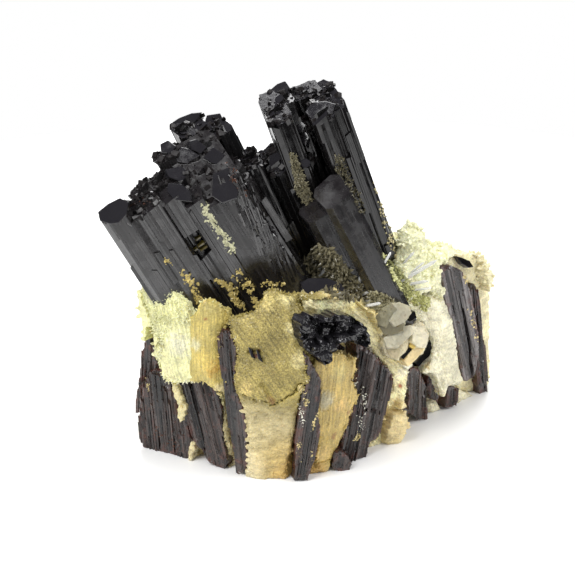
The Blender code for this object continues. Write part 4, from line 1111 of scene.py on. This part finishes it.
# Blocks of quartz that stand on the lump itself: name: (tint, pixel whose place on the lump carries it, how far it
# stands out in mm, direction that it faces, wall, two pixels along its lines, doming, outline)
QUARTZ_BLOCKS = {
    "block_grey": ((0.50, 0.47, 0.31), (392, 306), 0.3, (0.45, -0.85, 0.25), 3.0, ((380, 310), (404, 326)), 0.5, [
        (375, 312), (380, 305), (392, 302), (400, 303), (408, 309), (411, 315), (405, 322), (404, 330), (395, 333),
        (386, 332), (379, 326)]),
    "block_cream": ((0.74, 0.66, 0.44), (405, 335), 0.3, (0.50, -0.85, 0.15), 3.0, ((386, 350), (420, 330)), 0.5, [
        (384, 334), (392, 331), (404, 330), (411, 325), (419, 321), (425, 326), (429, 334), (428, 343), (424, 353),
        (417, 359), (409, 363), (402, 362), (393, 359), (386, 356), (383, 345)]),
    "block_white": ((0.92, 0.87, 0.64), (440, 345), 0.5, (0.67, -0.74, 0.10), 3.0, ((420, 305), (445, 390)), 0.8, [
        (410, 303), (418, 296), (430, 292), (441, 298), (448, 308), (451, 320), (455, 335), (457, 350), (459, 366),
        (463, 380), (458, 386), (448, 386), (444, 397), (440, 394), (437, 382), (433, 373), (424, 373),
        (431, 360), (434, 346), (431, 334), (424, 324), (416, 316)]),
    "block_fringe": ((0.92, 0.83, 0.52), (458, 330), -1.9, (0.67, -0.74, 0.0), 1.6, ((475, 270), (484, 390)), 0.5, [
        (444, 263), (456, 255), (468, 253), (478, 257), (485, 266), (489, 288), (490, 320), (489, 350), (490, 376),
        (487, 396), (476, 397), (462, 391), (455, 386), (450, 340), (444, 300)]),
    "block_tail": ((0.84, 0.72, 0.42), (190, 448), 0.3, (-0.50, -0.86, 0.0), 1.6, ((188, 440), (190, 462)), 0.2, [
        (190, 442), (194, 444), (194, 450), (191, 460), (187, 463)]),
    "block_sliver": ((0.80, 0.70, 0.38), (180, 412), 0.9, (-0.50, -0.86, 0.0), 1.6, ((172, 385), (183, 425)), 0.3, [
        (171, 381), (176, 384), (182, 400), (186, 408), (185, 415), (180, 422), (177, 416), (178, 405), (174, 396)]),
}
# The stains on the crusts, and two patches of painted shade on the arch's inner left: (crust, pixel, reach in mm,
# colour, strength).
STAINS_AND_PAINTED_SHADE = [
    ("crust_wall", (214, 368), 1.4, (0.66, 0.40, 0.08), 0.9), ("crust_wall", (222, 390), 1.3, (0.80, 0.68, 0.36), 0.9),
    ("crust_wall", (206, 360), 1.8, (0.80, 0.62, 0.17), 0.8), ("crust_wall", (195, 345), 1.0, (0.82, 0.78, 0.48), 0.8),
    ("crust_wall", (207, 310), 1.3, (0.50, 0.42, 0.14), 0.7), ("crust_wall", (216, 330), 0.9, (0.46, 0.38, 0.12), 0.7),
    ("crust_wall", (206, 319), 0.3, RUST, 0.8), ("crust_left", (178, 345), 1.8, (0.80, 0.78, 0.60), 0.7),
    ("crust_left", (150, 295), 1.5, (0.84, 0.84, 0.55), 0.8), ("crust_left", (168, 372), 1.2, (0.86, 0.80, 0.45), 0.8),
    ("crust_centre", (251, 351), 0.35, (0.16, 0.05, 0.04), 0.9),
    ("crust_centre", (256, 355), 0.4, (0.16, 0.05, 0.04), 0.9),
    ("crust_centre", (259, 350), 0.22, (0.2, 0.08, 0.06), 0.8),
    ("crust_centre", (272, 401), 0.7, (0.34, 0.20, 0.08), 0.8),
    ("crust_centre", (246, 390), 1.3, (0.72, 0.56, 0.20), 0.8),
    ("crust_centre", (297, 330), 1.3, (0.76, 0.68, 0.36), 0.8),
    ("crust_centre", (299, 360), 1.2, (0.74, 0.64, 0.30), 0.8),
    ("crust_centre", (266, 303), 1.3, (0.66, 0.54, 0.20), 0.8),
    ("crust_centre", (285, 300), 1.0, (0.78, 0.68, 0.32), 0.8),
    ("crust_centre", (246, 322), 1.0, (0.52, 0.42, 0.14), 0.7),
    ("crust_amber", (325, 400), 1.4, (0.56, 0.52, 0.36), 0.8), ("crust_amber", (340, 372), 1.5, (0.60, 0.50, 0.20), 0.8),
    ("crust_amber", (325, 455), 1.3, (0.76, 0.54, 0.20), 0.8), ("crust_amber", (342, 405), 1.2, (0.78, 0.54, 0.20), 0.7),
    ("crust_amber", (334, 436), 0.5, (0.3, 0.14, 0.05), 0.8), ("crust_amber", (349, 412), 0.5, (0.3, 0.14, 0.06), 0.6),
    # These first two arch patches are painted shade, darkening the arch's inner left where shadow falls.
    ("crust_arch", (312, 311), 0.9, SHADOWED, 0.8), ("crust_arch", (325, 312), 0.5, (0.70, 0.58, 0.26), 0.6),
    ("crust_arch", (350, 309), 1.2, (0.94, 0.80, 0.34), 0.8), ("crust_arch", (365, 325), 1.2, (0.96, 0.86, 0.50), 0.8),
    ("crust_arch", (370, 315), 0.8, (0.92, 0.90, 0.74), 0.8), ("crust_arch", (402, 372), 1.2, (0.90, 0.84, 0.62), 0.8),
    ("block_grey", (382, 318), 1.3, (0.26, 0.24, 0.13), 0.8), ("block_grey", (402, 308), 0.9, (0.74, 0.70, 0.52), 0.8),
    ("block_cream", (412, 343), 0.7, (0.84, 0.62, 0.20), 0.9), ("block_cream", (405, 354), 0.75, (0.06, 0.02, 0.02), 0.95),
    ("block_cream", (390, 338), 1.1, (0.46, 0.42, 0.26), 0.8), ("block_cream", (420, 330), 0.9, (0.88, 0.82, 0.60), 0.8),
    ("block_white", (426, 300), 1.0, (0.72, 0.70, 0.48), 0.8), ("block_white", (440, 395), 1.2, (0.90, 0.80, 0.52), 0.8),
    ("block_white", (412, 312), 0.6, (0.10, 0.08, 0.05), 0.9), ("block_white", (430, 348), 0.5, (0.10, 0.06, 0.05), 0.9),
    ("block_white", (428, 366), 0.6, (0.62, 0.48, 0.20), 0.8), ("crust_left", (161, 345), 0.7, (0.40, 0.36, 0.16), 0.8),
    ("crust_arch", (399, 386), 0.45, (0.45, 0.12, 0.04), 0.9), ("crust_arch", (397, 402), 1.2, (0.86, 0.70, 0.36), 0.8),
]


def stain(piece, pixel, reach, colour, strength, seed):
    """Colours a small ragged patch of a piece, round what a pixel shows."""
    hit = seen_at(pixel, [piece])
    if hit is None:
        return
    layer = piece.data.attributes["tint"]
    rgba = np.empty(len(piece.data.vertices) * 4)
    layer.data.foreach_get("color", rgba)
    rgba = rgba.reshape(-1, 4)
    points = points_of(piece)
    near = np.flatnonzero(np.linalg.norm(points - np.array(hit[0]), axis=1) < reach * 1.8 * MM)
    apart = np.linalg.norm(points[near] - np.array(hit[0]), axis=1) / (reach * MM)
    ragged_edge = apart + 0.5 * rolling(points[near], 0.5 * MM, 3, seed)
    share = np.clip(1.6 - 1.6 * ragged_edge, 0, 1)[:, None] * strength
    rgba[near, :3] = rgba[near, :3] * (1 - share) + np.array(colour) * share
    layer.data.foreach_set("color", rgba.ravel())


def crust_quartz(name, painted_glint):
    """The quartz of the crusts: satin, with fine lines along it, grains, and painted glints as fine light and dark
    specks in the colour.
    """
    mat, tree, shader = new_material(name)
    tint = add_node(tree, "ShaderNodeAttribute", attribute_name="tint")
    grown = add_node(tree, "ShaderNodeAttribute", attribute_name="grown").outputs["Vector"]
    group = add_node(tree, "ShaderNodeGroup", node_tree=sugar, Colour=tint.outputs["Color"], Grain=4300.0, Stain=0.2)
    drawn = add_node(tree, "ShaderNodeMapping", Vector=grown, Scale=(1.0, 1.0, 0.06)).outputs["Vector"]
    lines = add_node(tree, "ShaderNodeTexNoise", Vector=drawn, Scale=3.6, Detail=4.0).outputs["Fac"]
    colour = mixed(tree, "MULTIPLY", 1.0, group.outputs["Colour"], ramp(tree, lines, [(0.36, 0.70), (0.62, 1.12)]))
    place = add_node(tree, "ShaderNodeTexCoord").outputs["Object"]
    # Painted glints: fine specks of lighter and darker colour that stand in for the sparkle of the grains.
    painted_glitter = add_node(tree, "ShaderNodeTexNoise", Vector=place, Scale=6500.0, Detail=1.0).outputs["Fac"]
    colour = mixed(tree, "MULTIPLY", 1.0, colour, ramp(tree, painted_glitter, [(0.36, 1.0 - painted_glint), (0.66, 1.0 + painted_glint)]))
    height = add_node(tree, "ShaderNodeMath", operation="ADD")
    tree.links.new(group.outputs["Height"], height.inputs[0])
    tree.links.new(lines, height.inputs[1])
    bump = add_node(tree, "ShaderNodeBump", Height=height.outputs[0], Distance=0.07 * MM)
    tree.links.new(colour, shader.inputs["Base Color"])
    tree.links.new(group.outputs["Rough"], shader.inputs["Roughness"])
    tree.links.new(bump.outputs["Normal"], shader.inputs["Normal"])
    shader.inputs["IOR"].default_value = 1.54
    shader.inputs["Subsurface Weight"].default_value = 0.2
    shader.inputs["Subsurface Radius"].default_value = (1.0, 0.8, 0.4)
    shader.inputs["Subsurface Scale"].default_value = 0.6 * MM
    return mat


# The number is the strength of the painted glints; the centre crust has the strongest.
satin_crust = crust_quartz("satin_crust", 0.12)
painted_glint_crust = crust_quartz("painted_glint_crust", 0.30)
SMOOTH_CRUSTS = ("crust_wall", "crust_centre", "crust_amber")
crusts = {}
crust_frames = {}
sheets = {name: ((Vector(place) + TO_BOX_MIDDLE) * MM, tint, outward, wall, lines, height, outline)
          for name, (tint, place, outward, wall, lines, height, outline) in CRUSTS.items()}
for name, (tint, pixel, ahead, outward, wall, lines, height, outline) in QUARTZ_BLOCKS.items():
    origin = seen_at(pixel, [lump, *crystals.values()])[0] + Vector(outward).normalized() * ahead * MM
    sheets[name] = (origin, tint, outward, wall, lines, height, outline)
for seed, (name, (origin, tint, outward, wall, lines, height, outline)) in enumerate(sheets.items(), 31):
    out = Vector(outward).normalized()
    along = on_plane(lines[0], origin, out) - on_plane(lines[1], origin, out)
    matrix = plate_frame(origin, out, along)
    crust = plate(name, matrix, wall, ragged(random.Random(seed), outline, 2.5, 0.9))
    doming(crust, matrix, outline, height, 1.3)
    if name == "crust_wall":
        dent(crust, matrix, [(224, 312), (222, 345), (225, 395)], 0.9, 1.2)
    if name == "block_grey":
        dent(crust, matrix, [(391, 303), (396, 332)], 0.8, -0.6)
    if name == "block_cream":
        dent(crust, matrix, [(392, 332), (400, 345), (396, 358)], 0.8, -0.6)
        dent(crust, matrix, [(402, 358), (410, 350)], 0.5, 0.9)
    if name == "crust_centre":
        dent(crust, matrix, [(284, 292), (292, 330), (296, 372)], 0.7, -0.5)
        dent(crust, matrix, [(250, 352), (259, 352)], 0.25, 0.5)
        dent(crust, matrix, [(262, 385), (273, 402)], 0.3, 0.4)
    striate(crust, matrix, 0.05, 0.06, seed)
    rough_share = 0.4 if name in SMOOTH_CRUSTS else 1.0
    roughen(crust, 0.12 * MM * rough_share, 1.3 * MM, 3, seed)
    roughen(crust, 0.05 * MM * rough_share, 0.4 * MM, 2, seed + 9)
    patches = rolling(points_of(crust), 2.2 * MM, 3, seed + 50)[:, None]
    set_tint(crust, np.clip(np.array(tint) * (1 + 0.15 * patches), 0, 1))
    # The stains, and the painted shade on the arch, go into the tint.
    for number, (owner, pixel, reach, colour, strength) in enumerate(STAINS_AND_PAINTED_SHADE):
        if owner == name:
            stain(crust, pixel, reach, colour, strength, number)
    set_growth(crust, matrix)
    skin = painted_glint_crust if name == "crust_centre" else satin_crust if name.startswith("crust") else massive
    crust.data.materials.append(skin)
    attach(crust, "root")
    tuck(matrix, outline, 0.9)
    covered.append(outline)
    crusts[name] = crust
    crust_frames[name] = matrix

# The druse. Small quartz crystals, six-sided with pointed ends, cover the open quartz in the hollows and behind.
# One is modelled, and its copies stand on what carries them, each with its own size and tilt.
def six_sided(tip):
    """A small quartz crystal of unit size, standing on its foot, with a pointed end."""
    bpy.ops.object.select_all(action="DESELECT")
    bpy.ops.mesh.primitive_cylinder_add(vertices=6, radius=0.5, depth=1.0 - tip, location=(0, 0, (1.0 - tip) / 2))
    crystal = bpy.context.object
    bpy.ops.object.mode_set(mode="EDIT")
    bpy.ops.mesh.select_mode(type="FACE")
    bpy.ops.mesh.select_all(action="DESELECT")
    bpy.ops.object.mode_set(mode="OBJECT")
    for face in crystal.data.polygons:
        face.select = face.normal.z > 0.9
    bpy.ops.object.mode_set(mode="EDIT")
    bpy.ops.mesh.extrude_region_move(TRANSFORM_OT_translate={"value": (0.0, 0.0, tip)})
    bpy.ops.transform.resize(value=(0.06, 0.10, 1.0))
    bpy.ops.object.mode_set(mode="OBJECT")
    bpy.ops.object.transform_apply(location=True, rotation=True, scale=True)
    return shape_of(crystal)


quartz_point = six_sided(0.3)
quartz_needle = six_sided(0.12)


def open_places(rng, carrier, count, wanted):
    """Random places spread evenly over those faces of a piece that are wanted: their points and normals."""
    mesh = carrier.data
    mesh.calc_loop_triangles()
    triangles = np.array([triangle.vertices[:] for triangle in mesh.loop_triangles])
    points = points_of(carrier)
    a, b, c = points[triangles[:, 0]], points[triangles[:, 1]], points[triangles[:, 2]]
    normals = np.cross(b - a, c - a)
    areas = np.linalg.norm(normals, axis=1)
    normals /= np.maximum(areas, 1e-18)[:, None]
    share = areas * wanted((a + b + c) / 3, normals)
    picks = rng.choice(len(triangles), size=count, p=share / share.sum())
    s, t = rng.random(count), rng.random(count)
    over = s + t > 1
    s[over], t[over] = 1 - s[over], 1 - t[over]
    places = a[picks] + s[:, None] * (b - a)[picks] + t[:, None] * (c - a)[picks]
    return places, normals[picks]


def clear_quartz(name, transmission, rough):
    """Small clear quartz crystals with a faint tint of their own."""
    mat, tree, shader = new_material(name)
    tint = add_node(tree, "ShaderNodeAttribute", attribute_name="tint").outputs["Color"]
    place = add_node(tree, "ShaderNodeTexCoord").outputs["Object"]
    haze = add_node(tree, "ShaderNodeTexNoise", Vector=place, Scale=1500.0, Detail=2.0).outputs["Fac"]
    tree.links.new(mixed(tree, "MULTIPLY", 1.0, tint, ramp(tree, haze, [(0.3, 0.9), (0.7, 1.0)])),
                   shader.inputs["Base Color"])
    tree.links.new(ramp(tree, haze, [(0.3, rough), (0.7, rough + 0.12)]), shader.inputs["Roughness"])
    shader.inputs["IOR"].default_value = 1.54
    shader.inputs["Transmission Weight"].default_value = transmission
    return mat


druse_material = clear_quartz("druse_quartz", 0.12, 0.20)
glass_quartz = clear_quartz("needle_quartz", 0.40, 0.08)


def finish_druse(piece, colours, shape, mat):
    set_tint(piece, np.clip(np.repeat(colours, len(shape[0]), axis=0), 0, 1))
    piece.data.materials.append(mat)
    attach(piece, "root")


def grow_druse(name, carrier, shape, count, width, length, tilt, tints, wanted, seed):
    """A cover of small crystals over a carrier, tinted like the quartz beneath them."""
    rng = np.random.default_rng(seed)
    places, normals = open_places(rng, carrier, count, wanted)
    axes = normals + rng.normal(0.0, tilt, normals.shape)
    widths = rng.uniform(width[0], width[1], count) * MM
    sizes = np.column_stack([widths, widths, rng.uniform(length[0], length[1], count) * MM])
    piece = repeated(name, shape, places, axes, sizes, rng.uniform(0, 2 * math.pi, count), 0.35)
    finish_druse(piece, tinted(places, tints, seed) * rng.uniform(0.92, 1.12, (count, 1)), shape, druse_material)


def rim_of(name):
    """Chooses the edges of a crust, and leaves its flat faces bare."""
    out = np.array(out_of(crust_frames[name]))
    return lambda points, normals: (np.abs(normals @ out) < 0.45) * (points[:, 2] > 0.5 * MM)


TO_VIEWER = np.array((camera.location - CAMERA_AIM).normalized())
# Where the front of the lump carries druse, in pixels: the bright quartz at the upper right.
OPEN_QUARTZ = [(392, 208), (430, 212), (470, 246), (495, 262), (492, 290), (470, 268), (440, 262), (436, 300),
               (418, 306), (398, 268)]


def open_lump(points, normals):
    """The upper right of the front, and all that faces away from the viewer."""
    seen = normals @ TO_VIEWER > 0.0
    return (~seen | inside(pixels_of(points), OPEN_QUARTZ)) * (points[:, 2] > 0.8 * MM) * (normals[:, 2] > -0.5)


# Where the left crust is furred with small crystals, in pixels; the rest of it is smooth.
FURRED = [(130, 276), (180, 280), (190, 308), (186, 324), (172, 326), (164, 344), (160, 368), (166, 378), (196, 380),
          (196, 390), (130, 390)]


def out_front(points, normals):
    """The furred part of the left crust's face, as the viewer sees it."""
    return (normals @ TO_VIEWER > 0.1) * inside(pixels_of(points), FURRED)


grow_druse("druse_lump", lump, quartz_point, 4200, (0.20, 0.55), (0.3, 1.0), 0.30, LUMP_TINTS, open_lump, 41)
LEFT_TINTS = [((-15.5, -6.0, 17.0), 3.0, (0.92, 0.92, 0.58)), ((-13.0, -7.4, 14.0), 3.0, (0.95, 0.95, 0.70)),
              ((-11.0, -8.5, 11.0), 3.0, (0.95, 0.93, 0.74)), ((-13.5, -7.5, 9.0), 2.5, (0.92, 0.88, 0.54))]
grow_druse("druse_left", crusts["crust_left"], quartz_needle, 900, (0.05, 0.12), (0.2, 0.7), 0.30, LEFT_TINTS,
           out_front, 42)
for seed, (name, count) in enumerate({"wall": 260, "centre": 520, "amber": 420, "arch": 900}.items(), 43):
    grow_druse("druse_" + name, crusts["crust_" + name], quartz_point, count, (0.10, 0.26), (0.25, 0.6), 0.25,
               LUMP_TINTS, rim_of("crust_" + name), seed)

# name: (outline in pixels, count, width in mm, length in mm, tilt, colour, seed): quartz that fills the hollows
# between the prisms, standing on whatever the camera sees there.
HOLLOWS = {
    "quartz_pocket": ([(303, 262), (318, 244), (336, 252), (350, 272), (366, 288), (360, 300), (340, 298), (318, 290)],
                      1000, (0.10, 0.45), (0.4, 1.6), 0.8, (0.17, 0.15, 0.09), 51),
    "quartz_strip_left": ([(289, 152), (296, 156), (305, 180), (313, 200), (306, 206), (296, 188)],
                          700, (0.05, 0.16), (0.25, 0.9), 1.0, (0.25, 0.225, 0.14), 52),
    "quartz_strip_right": ([(334, 154), (343, 156), (356, 185), (366, 212), (360, 214), (348, 186), (336, 172)],
                           330, (0.05, 0.16), (0.2, 0.7), 1.0, (0.14, 0.125, 0.075), 53),
    "quartz_edge": ([(368, 160), (376, 178), (384, 200), (394, 238), (398, 262), (388, 244), (378, 204)],
                    120, (0.08, 0.3), (0.15, 0.5), 0.8, (0.66, 0.58, 0.32), 54),
    "quartz_green": ([(383, 255), (392, 262), (404, 275), (414, 290), (430, 300), (426, 312), (408, 300), (394, 280)],
                     520, (0.08, 0.32), (0.25, 0.8), 0.7, (0.66, 0.66, 0.30), 55),
    "quartz_cluster": ([(354, 298), (362, 290), (380, 292), (392, 300), (398, 306), (384, 312), (370, 308)],
                       420, (0.08, 0.28), (0.3, 1.1), 0.9, (0.32, 0.29, 0.17), 56),
}
carriers = [lump, *crystals.values(), *crusts.values()]
for name, (outline, count, width, length, tilt, colour, seed) in HOLLOWS.items():
    rng = np.random.default_rng(seed)
    corners = np.array(outline)
    pixels = rng.uniform(corners.min(axis=0), corners.max(axis=0), (count * 6, 2))
    pixels = pixels[inside(pixels, outline)][:count]
    hits = [seen_at(pixel, carriers) for pixel in pixels]
    hits = [hit for hit in hits if hit is not None]
    places = np.array([hit[0] for hit in hits])
    axes = np.array([hit[1] for hit in hits]) + TO_VIEWER * 0.4 + rng.normal(0.0, tilt, places.shape)
    widths = rng.uniform(width[0], width[1], len(hits)) * MM
    sizes = np.column_stack([widths, widths, rng.uniform(length[0], length[1], len(hits)) * MM])
    piece = repeated(name, quartz_point, places, axes, sizes, rng.uniform(0, 2 * math.pi, len(hits)), 0.35)
    colours = np.array(colour)[None] * rng.uniform(0.75, 1.25, (len(hits), 1))
    finish_druse(piece, colours, quartz_point, druse_material)

# The clear needles and the stout milky crystals at the foot of the gem prism: (pixel of the foot, pixel of the tip,
# width in mm, how far the tip comes forward in mm).
NEEDLES = [((407, 278), (437, 260), 0.5, 1.2), ((410, 284), (428, 281), 0.4, 1.2), ((362, 287), (368, 270), 0.55, 1.2),
           ((359, 286), (361, 268), 0.4, 1.2), ((326, 279), (341, 263), 0.5, 2.2), ((319, 277), (333, 261), 0.45, 2.0), ((330, 281), (347, 272), 0.4, 1.8),
           ((312, 272), (326, 266), 0.35, 1.6),
           ((309, 265), (318, 259), 0.3, 1.4), ((405, 262), (414, 252), 0.35, 0.8), ((412, 272), (424, 262), 0.3, 0.8),
           ((364, 302), (380, 297), 0.35, 1.0), ((366, 306), (381, 303), 0.35, 1.0), ((360, 296), (372, 290), 0.3, 0.8),
           ((414, 290), (432, 288), 0.35, 1.0), ((385, 262), (391, 252), 0.3, 0.6), ((370, 300), (362, 290), 0.3, 0.9)]


def placed_crystals(name, shape, crystals_seen, carriers, colour, mat, seed):
    """Single crystals whose feet and tips the camera sees at given pixels."""
    rng = np.random.default_rng(seed)
    places, axes, sizes = [], [], []
    for foot_pixel, tip_pixel, width, forward in crystals_seen:
        hit = seen_at(foot_pixel, carriers)
        tip = on_plane(tip_pixel, hit[0] + Vector(TO_VIEWER) * forward * MM, Vector(TO_VIEWER))
        axis = tip - hit[0]
        places.append(hit[0])
        axes.append(axis)
        sizes.append((width * MM, width * MM * rng.uniform(0.7, 1.0), axis.length / 0.85))
    count = len(places)
    piece = repeated(name, shape, np.array(places), np.array(axes), np.array(sizes),
                     rng.uniform(0, 2 * math.pi, count), 0.15)
    finish_druse(piece, np.array(colour)[None] * rng.uniform(0.95, 1.03, (count, 1)), shape, mat)
    return piece


placed_crystals("clear_needles", quartz_needle, NEEDLES, carriers, (0.95, 0.95, 0.92), glass_quartz, 61)

milky_quartz = quartz_material("milky_quartz", 3200.0, 0.15, 0.05 * MM, 0.35)
# The stout milky crystals between the gem prism and the far blades, the dark shards among them and the end of the
# stub in the pocket: (outline in pixels, direction that it faces, colour). Each facet's colour is partly the quartz's
# own tint and partly painted light and shade, lighter or darker by how that facet faces the light.
STOUT_CRYSTALS = [
    ([(374, 315), (383, 307), (392, 303), (397, 309), (391, 320), (386, 328), (378, 325)], (-0.10, -0.90, 0.42),
     (0.27, 0.25, 0.16)),
    ([(392, 303), (402, 303), (410, 306), (412, 313), (404, 323), (395, 327), (390, 321), (396, 309)],
     (0.50, -0.80, 0.35), (0.42, 0.39, 0.28)),
    ([(378, 325), (386, 328), (391, 320), (396, 327), (404, 323), (403, 331), (392, 335), (384, 335)],
     (0.10, -0.99, 0.0), (0.17, 0.15, 0.08)),
    ([(383, 338), (392, 332), (404, 326), (411, 325), (414, 333), (404, 341), (398, 348), (387, 348)],
     (0.05, -0.85, 0.52), (0.46, 0.43, 0.32)),
    ([(410, 325), (423, 328), (429, 336), (426, 348), (418, 347), (412, 341), (413, 333)], (0.55, -0.72, 0.42),
     (0.74, 0.68, 0.50)),
    ([(427, 346), (417, 359), (408, 367), (404, 361), (411, 351), (418, 345)], (0.45, -0.85, 0.20),
     (0.80, 0.64, 0.34)),
    ([(387, 347), (397, 347), (401, 351), (399, 358), (394, 359), (388, 355)], (-0.10, -0.95, 0.30),
     (0.58, 0.50, 0.32)),
    ([(412, 339), (417, 338), (420, 344), (414, 349), (409, 346)], (0.20, -0.85, 0.50), (0.80, 0.56, 0.14)),
]
DARK_SHARDS = [
    ([(431, 339), (433, 348), (430, 356), (424, 361), (419, 367), (416, 363), (421, 356), (426, 350), (428, 343)],
     (0.50, -0.80, 0.30)),
    ([(408, 314), (415, 311), (417, 318), (410, 322)], (0.30, -0.90, 0.30)),
    ([(402, 353), (407, 347), (412, 349), (411, 356), (406, 361), (401, 358)], (0.20, -0.95, 0.20)),
    ([(301, 283), (308, 278), (328, 278), (342, 284), (348, 294), (336, 293), (320, 297), (303, 298)],
     (0.05, -0.70, 0.71)),
    ([(248, 347), (252, 350), (255, 359), (251, 357)], (-0.05, -0.94, 0.32)),
    ([(256, 349), (260, 354), (263, 363), (258, 359)], (-0.05, -0.94, 0.32)),
    ([(456, 256), (463, 258), (470, 261), (474, 267), (469, 268), (462, 264)], (0.60, -0.74, 0.30)),
]
carriers = [lump, *crystals.values(), *crusts.values()]
stout = []
# Each facet gets its colour, which holds painted light and shade as well as its tint.
for outline, outward, colour in STOUT_CRYSTALS:
    stout.append(end_facet(outline, outward, carriers, 0.5, 2.2))
    set_tint(stout[-1], np.tile(colour, (len(stout[-1].data.vertices), 1)))
stout_crystals = joined(stout, "stout_crystals")
stout_crystals.data.materials.append(milky_quartz)
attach(stout_crystals, "root")
shards = joined([end_facet(outline, outward, carriers, 0.8, 1.8) for outline, outward in DARK_SHARDS], "dark_shards")
finish_crystal(shards, PRISMS["prism_main"][0], jet_hubnerite)
carriers += [stout_crystals, shards]

# The crumbs of quartz that cling to the faces of the prisms and the blades: (first pixel, last pixel, spread in
# pixels, count, size in mm, colour).
OCHRE = (0.62, 0.49, 0.17)
SAGE = (0.60, 0.59, 0.38)
DARK_RUST = (0.085, 0.028, 0.012)
CRUMBS = [
    ((203, 205), (216, 228), 4.0, 150, 0.40, SAGE), ((216, 228), (233, 250), 4.5, 190, 0.40, SAGE),
    ((165, 260), (170, 264), 2.5, 40, 0.40, OCHRE), ((183, 272), (197, 293), 3.5, 110, 0.40, OCHRE),
    ((213, 278), (225, 285), 3.0, 60, 0.40, OCHRE), ((235, 272), (253, 292), 4.5, 150, 0.42, OCHRE),
    ((228, 285), (240, 305), 4.5, 190, 0.45, OCHRE), ((262, 284), (284, 284), 3.0, 40, 0.32, OCHRE),
    ((250, 300), (262, 306), 5.0, 90, 0.42, OCHRE), ((195, 296), (206, 304), 4.0, 70, 0.40, OCHRE),
    ((231, 178), (239, 189), 3.0, 46, 0.36, DARK_RUST), ((226, 160), (248, 196), 3.0, 30, 0.30, DARK_RUST),
    ((126, 205), (150, 200), 5.0, 16, 0.26, DARK_RUST), ((150, 425), (182, 450), 7.0, 60, 0.24, DARK_RUST),
    ((300, 386), (306, 404), 3.5, 60, 0.26, CREAM), ((299, 404), (304, 424), 3.0, 46, 0.24, MILK),
    ((312, 432), (317, 412), 1.5, 24, 0.24, CREAM), ((298, 440), (301, 462), 2.0, 24, 0.24, CREAM),
    ((312, 450), (313, 462), 1.5, 14, 0.24, CREAM), ((362, 388), (366, 412), 4.0, 30, 0.26, MILK),
    ((360, 415), (363, 432), 3.0, 20, 0.26, MILK), ((353, 440), (359, 434), 2.5, 30, 0.34, CREAM),
    ((354, 378), (356, 386), 2.0, 20, 0.24, MILK), ((178, 410), (184, 404), 2.0, 26, 0.34, CREAM),
    ((146, 378), (149, 392), 1.5, 26, 0.28, CREAM), ((236, 336), (233, 346), 1.2, 10, 0.2, MILK),
    ((470, 310), (476, 340), 3.0, 40, 0.3, CREAM), ((464, 276), (468, 283), 2.0, 20, 0.3, CREAM),
]
bpy.ops.object.select_all(action="DESELECT")
bpy.ops.mesh.primitive_ico_sphere_add(subdivisions=1, radius=0.5)
crumb = shape_of(bpy.context.object)
rng = np.random.default_rng(71)
crumb[0][:] *= rng.uniform(0.55, 1.25, (len(crumb[0]), 1)) * (1.0, 0.8, 0.5)
places, axes, sizes, colours = [], [], [], []
for first, last, spread, count, size, colour in CRUMBS:
    for share in rng.random(round(count * 1.7)):
        pixel = np.array(first) * (1 - share) + np.array(last) * share + rng.normal(0.0, spread / 2, 2)
        hit = seen_at(pixel, carriers)
        patchy = noise.fractal(Vector((*pixel, 0.0)) / 7.0, 0.6, 2.1, 3)
        if hit is not None and patchy > -0.12:
            places.append(hit[0])
            axes.append(hit[1] + Vector(rng.normal(0.0, 0.35, 3)))
            sizes.append((0.4 + 1.5 * rng.random() ** 2) * size * rng.uniform(0.6, 1.2, 3) * (1.0, 1.0, 0.7) * MM)
            colours.append(np.array(colour) * rng.uniform(0.8, 1.2))
crumbs = repeated("quartz_crumbs", crumb, np.array(places), np.array(axes), np.array(sizes),
                  rng.uniform(0, 2 * math.pi, len(places)), 0.1)
finish_druse(crumbs, np.array(colours), crumb, druse_material)

# The studio: a round white table, a soft box above on the left, a weaker one on the right and one behind, in a
# white room that is dim behind the camera, so that the black faces mirror the table and not the room.
FLOOR_RADIUS = 0.100
bpy.ops.object.select_all(action="DESELECT")
bpy.ops.mesh.primitive_circle_add(vertices=128, radius=FLOOR_RADIUS, fill_type="NGON")
floor = bpy.context.object
floor.name = "floor"
floor_material, _, floor_shader = new_material("white_floor")
floor_shader.inputs["Base Color"].default_value = (0.93, 0.93, 0.93, 1.0)
floor_shader.inputs["Roughness"].default_value = 0.35
floor.data.materials.append(floor_material)

# name: (place in metres, size in metres, watts)
SOFT_BOXES = {
    "soft_box_left": ((-0.35, -0.30, 0.55), 0.36, 4.2),
    "soft_box_right": ((0.45, -0.18, 0.40), 0.30, 1.8),
    "soft_box_back": ((0.05, 0.45, 0.45), 0.40, 3.0),
}
for name, (place, size, watts) in SOFT_BOXES.items():
    light = bpy.data.lights.new(name, "AREA")
    light.size = size
    light.energy = watts
    box = bpy.data.objects.new(name, light)
    box.location = place
    box.rotation_euler = (CAMERA_AIM - Vector(place)).to_track_quat("-Z", "Y").to_euler()
    bpy.context.scene.collection.objects.link(box)

world = bpy.data.worlds.new("white_room")
bpy.context.scene.world = world
world.use_nodes = True
room = world.node_tree
backdrop = room.nodes["Background"]
path = add_node(room, "ShaderNodeLightPath")
bright = mixed(room, "MIX", path.outputs["Is Glossy Ray"], (0.55, 0.55, 0.55), (0.05, 0.05, 0.055))
bright = mixed(room, "MIX", path.outputs["Is Camera Ray"], bright, (1.0, 1.0, 1.0))
room.links.new(bright, backdrop.inputs["Color"])
bpy.context.scene.view_settings.view_transform = "Standard"
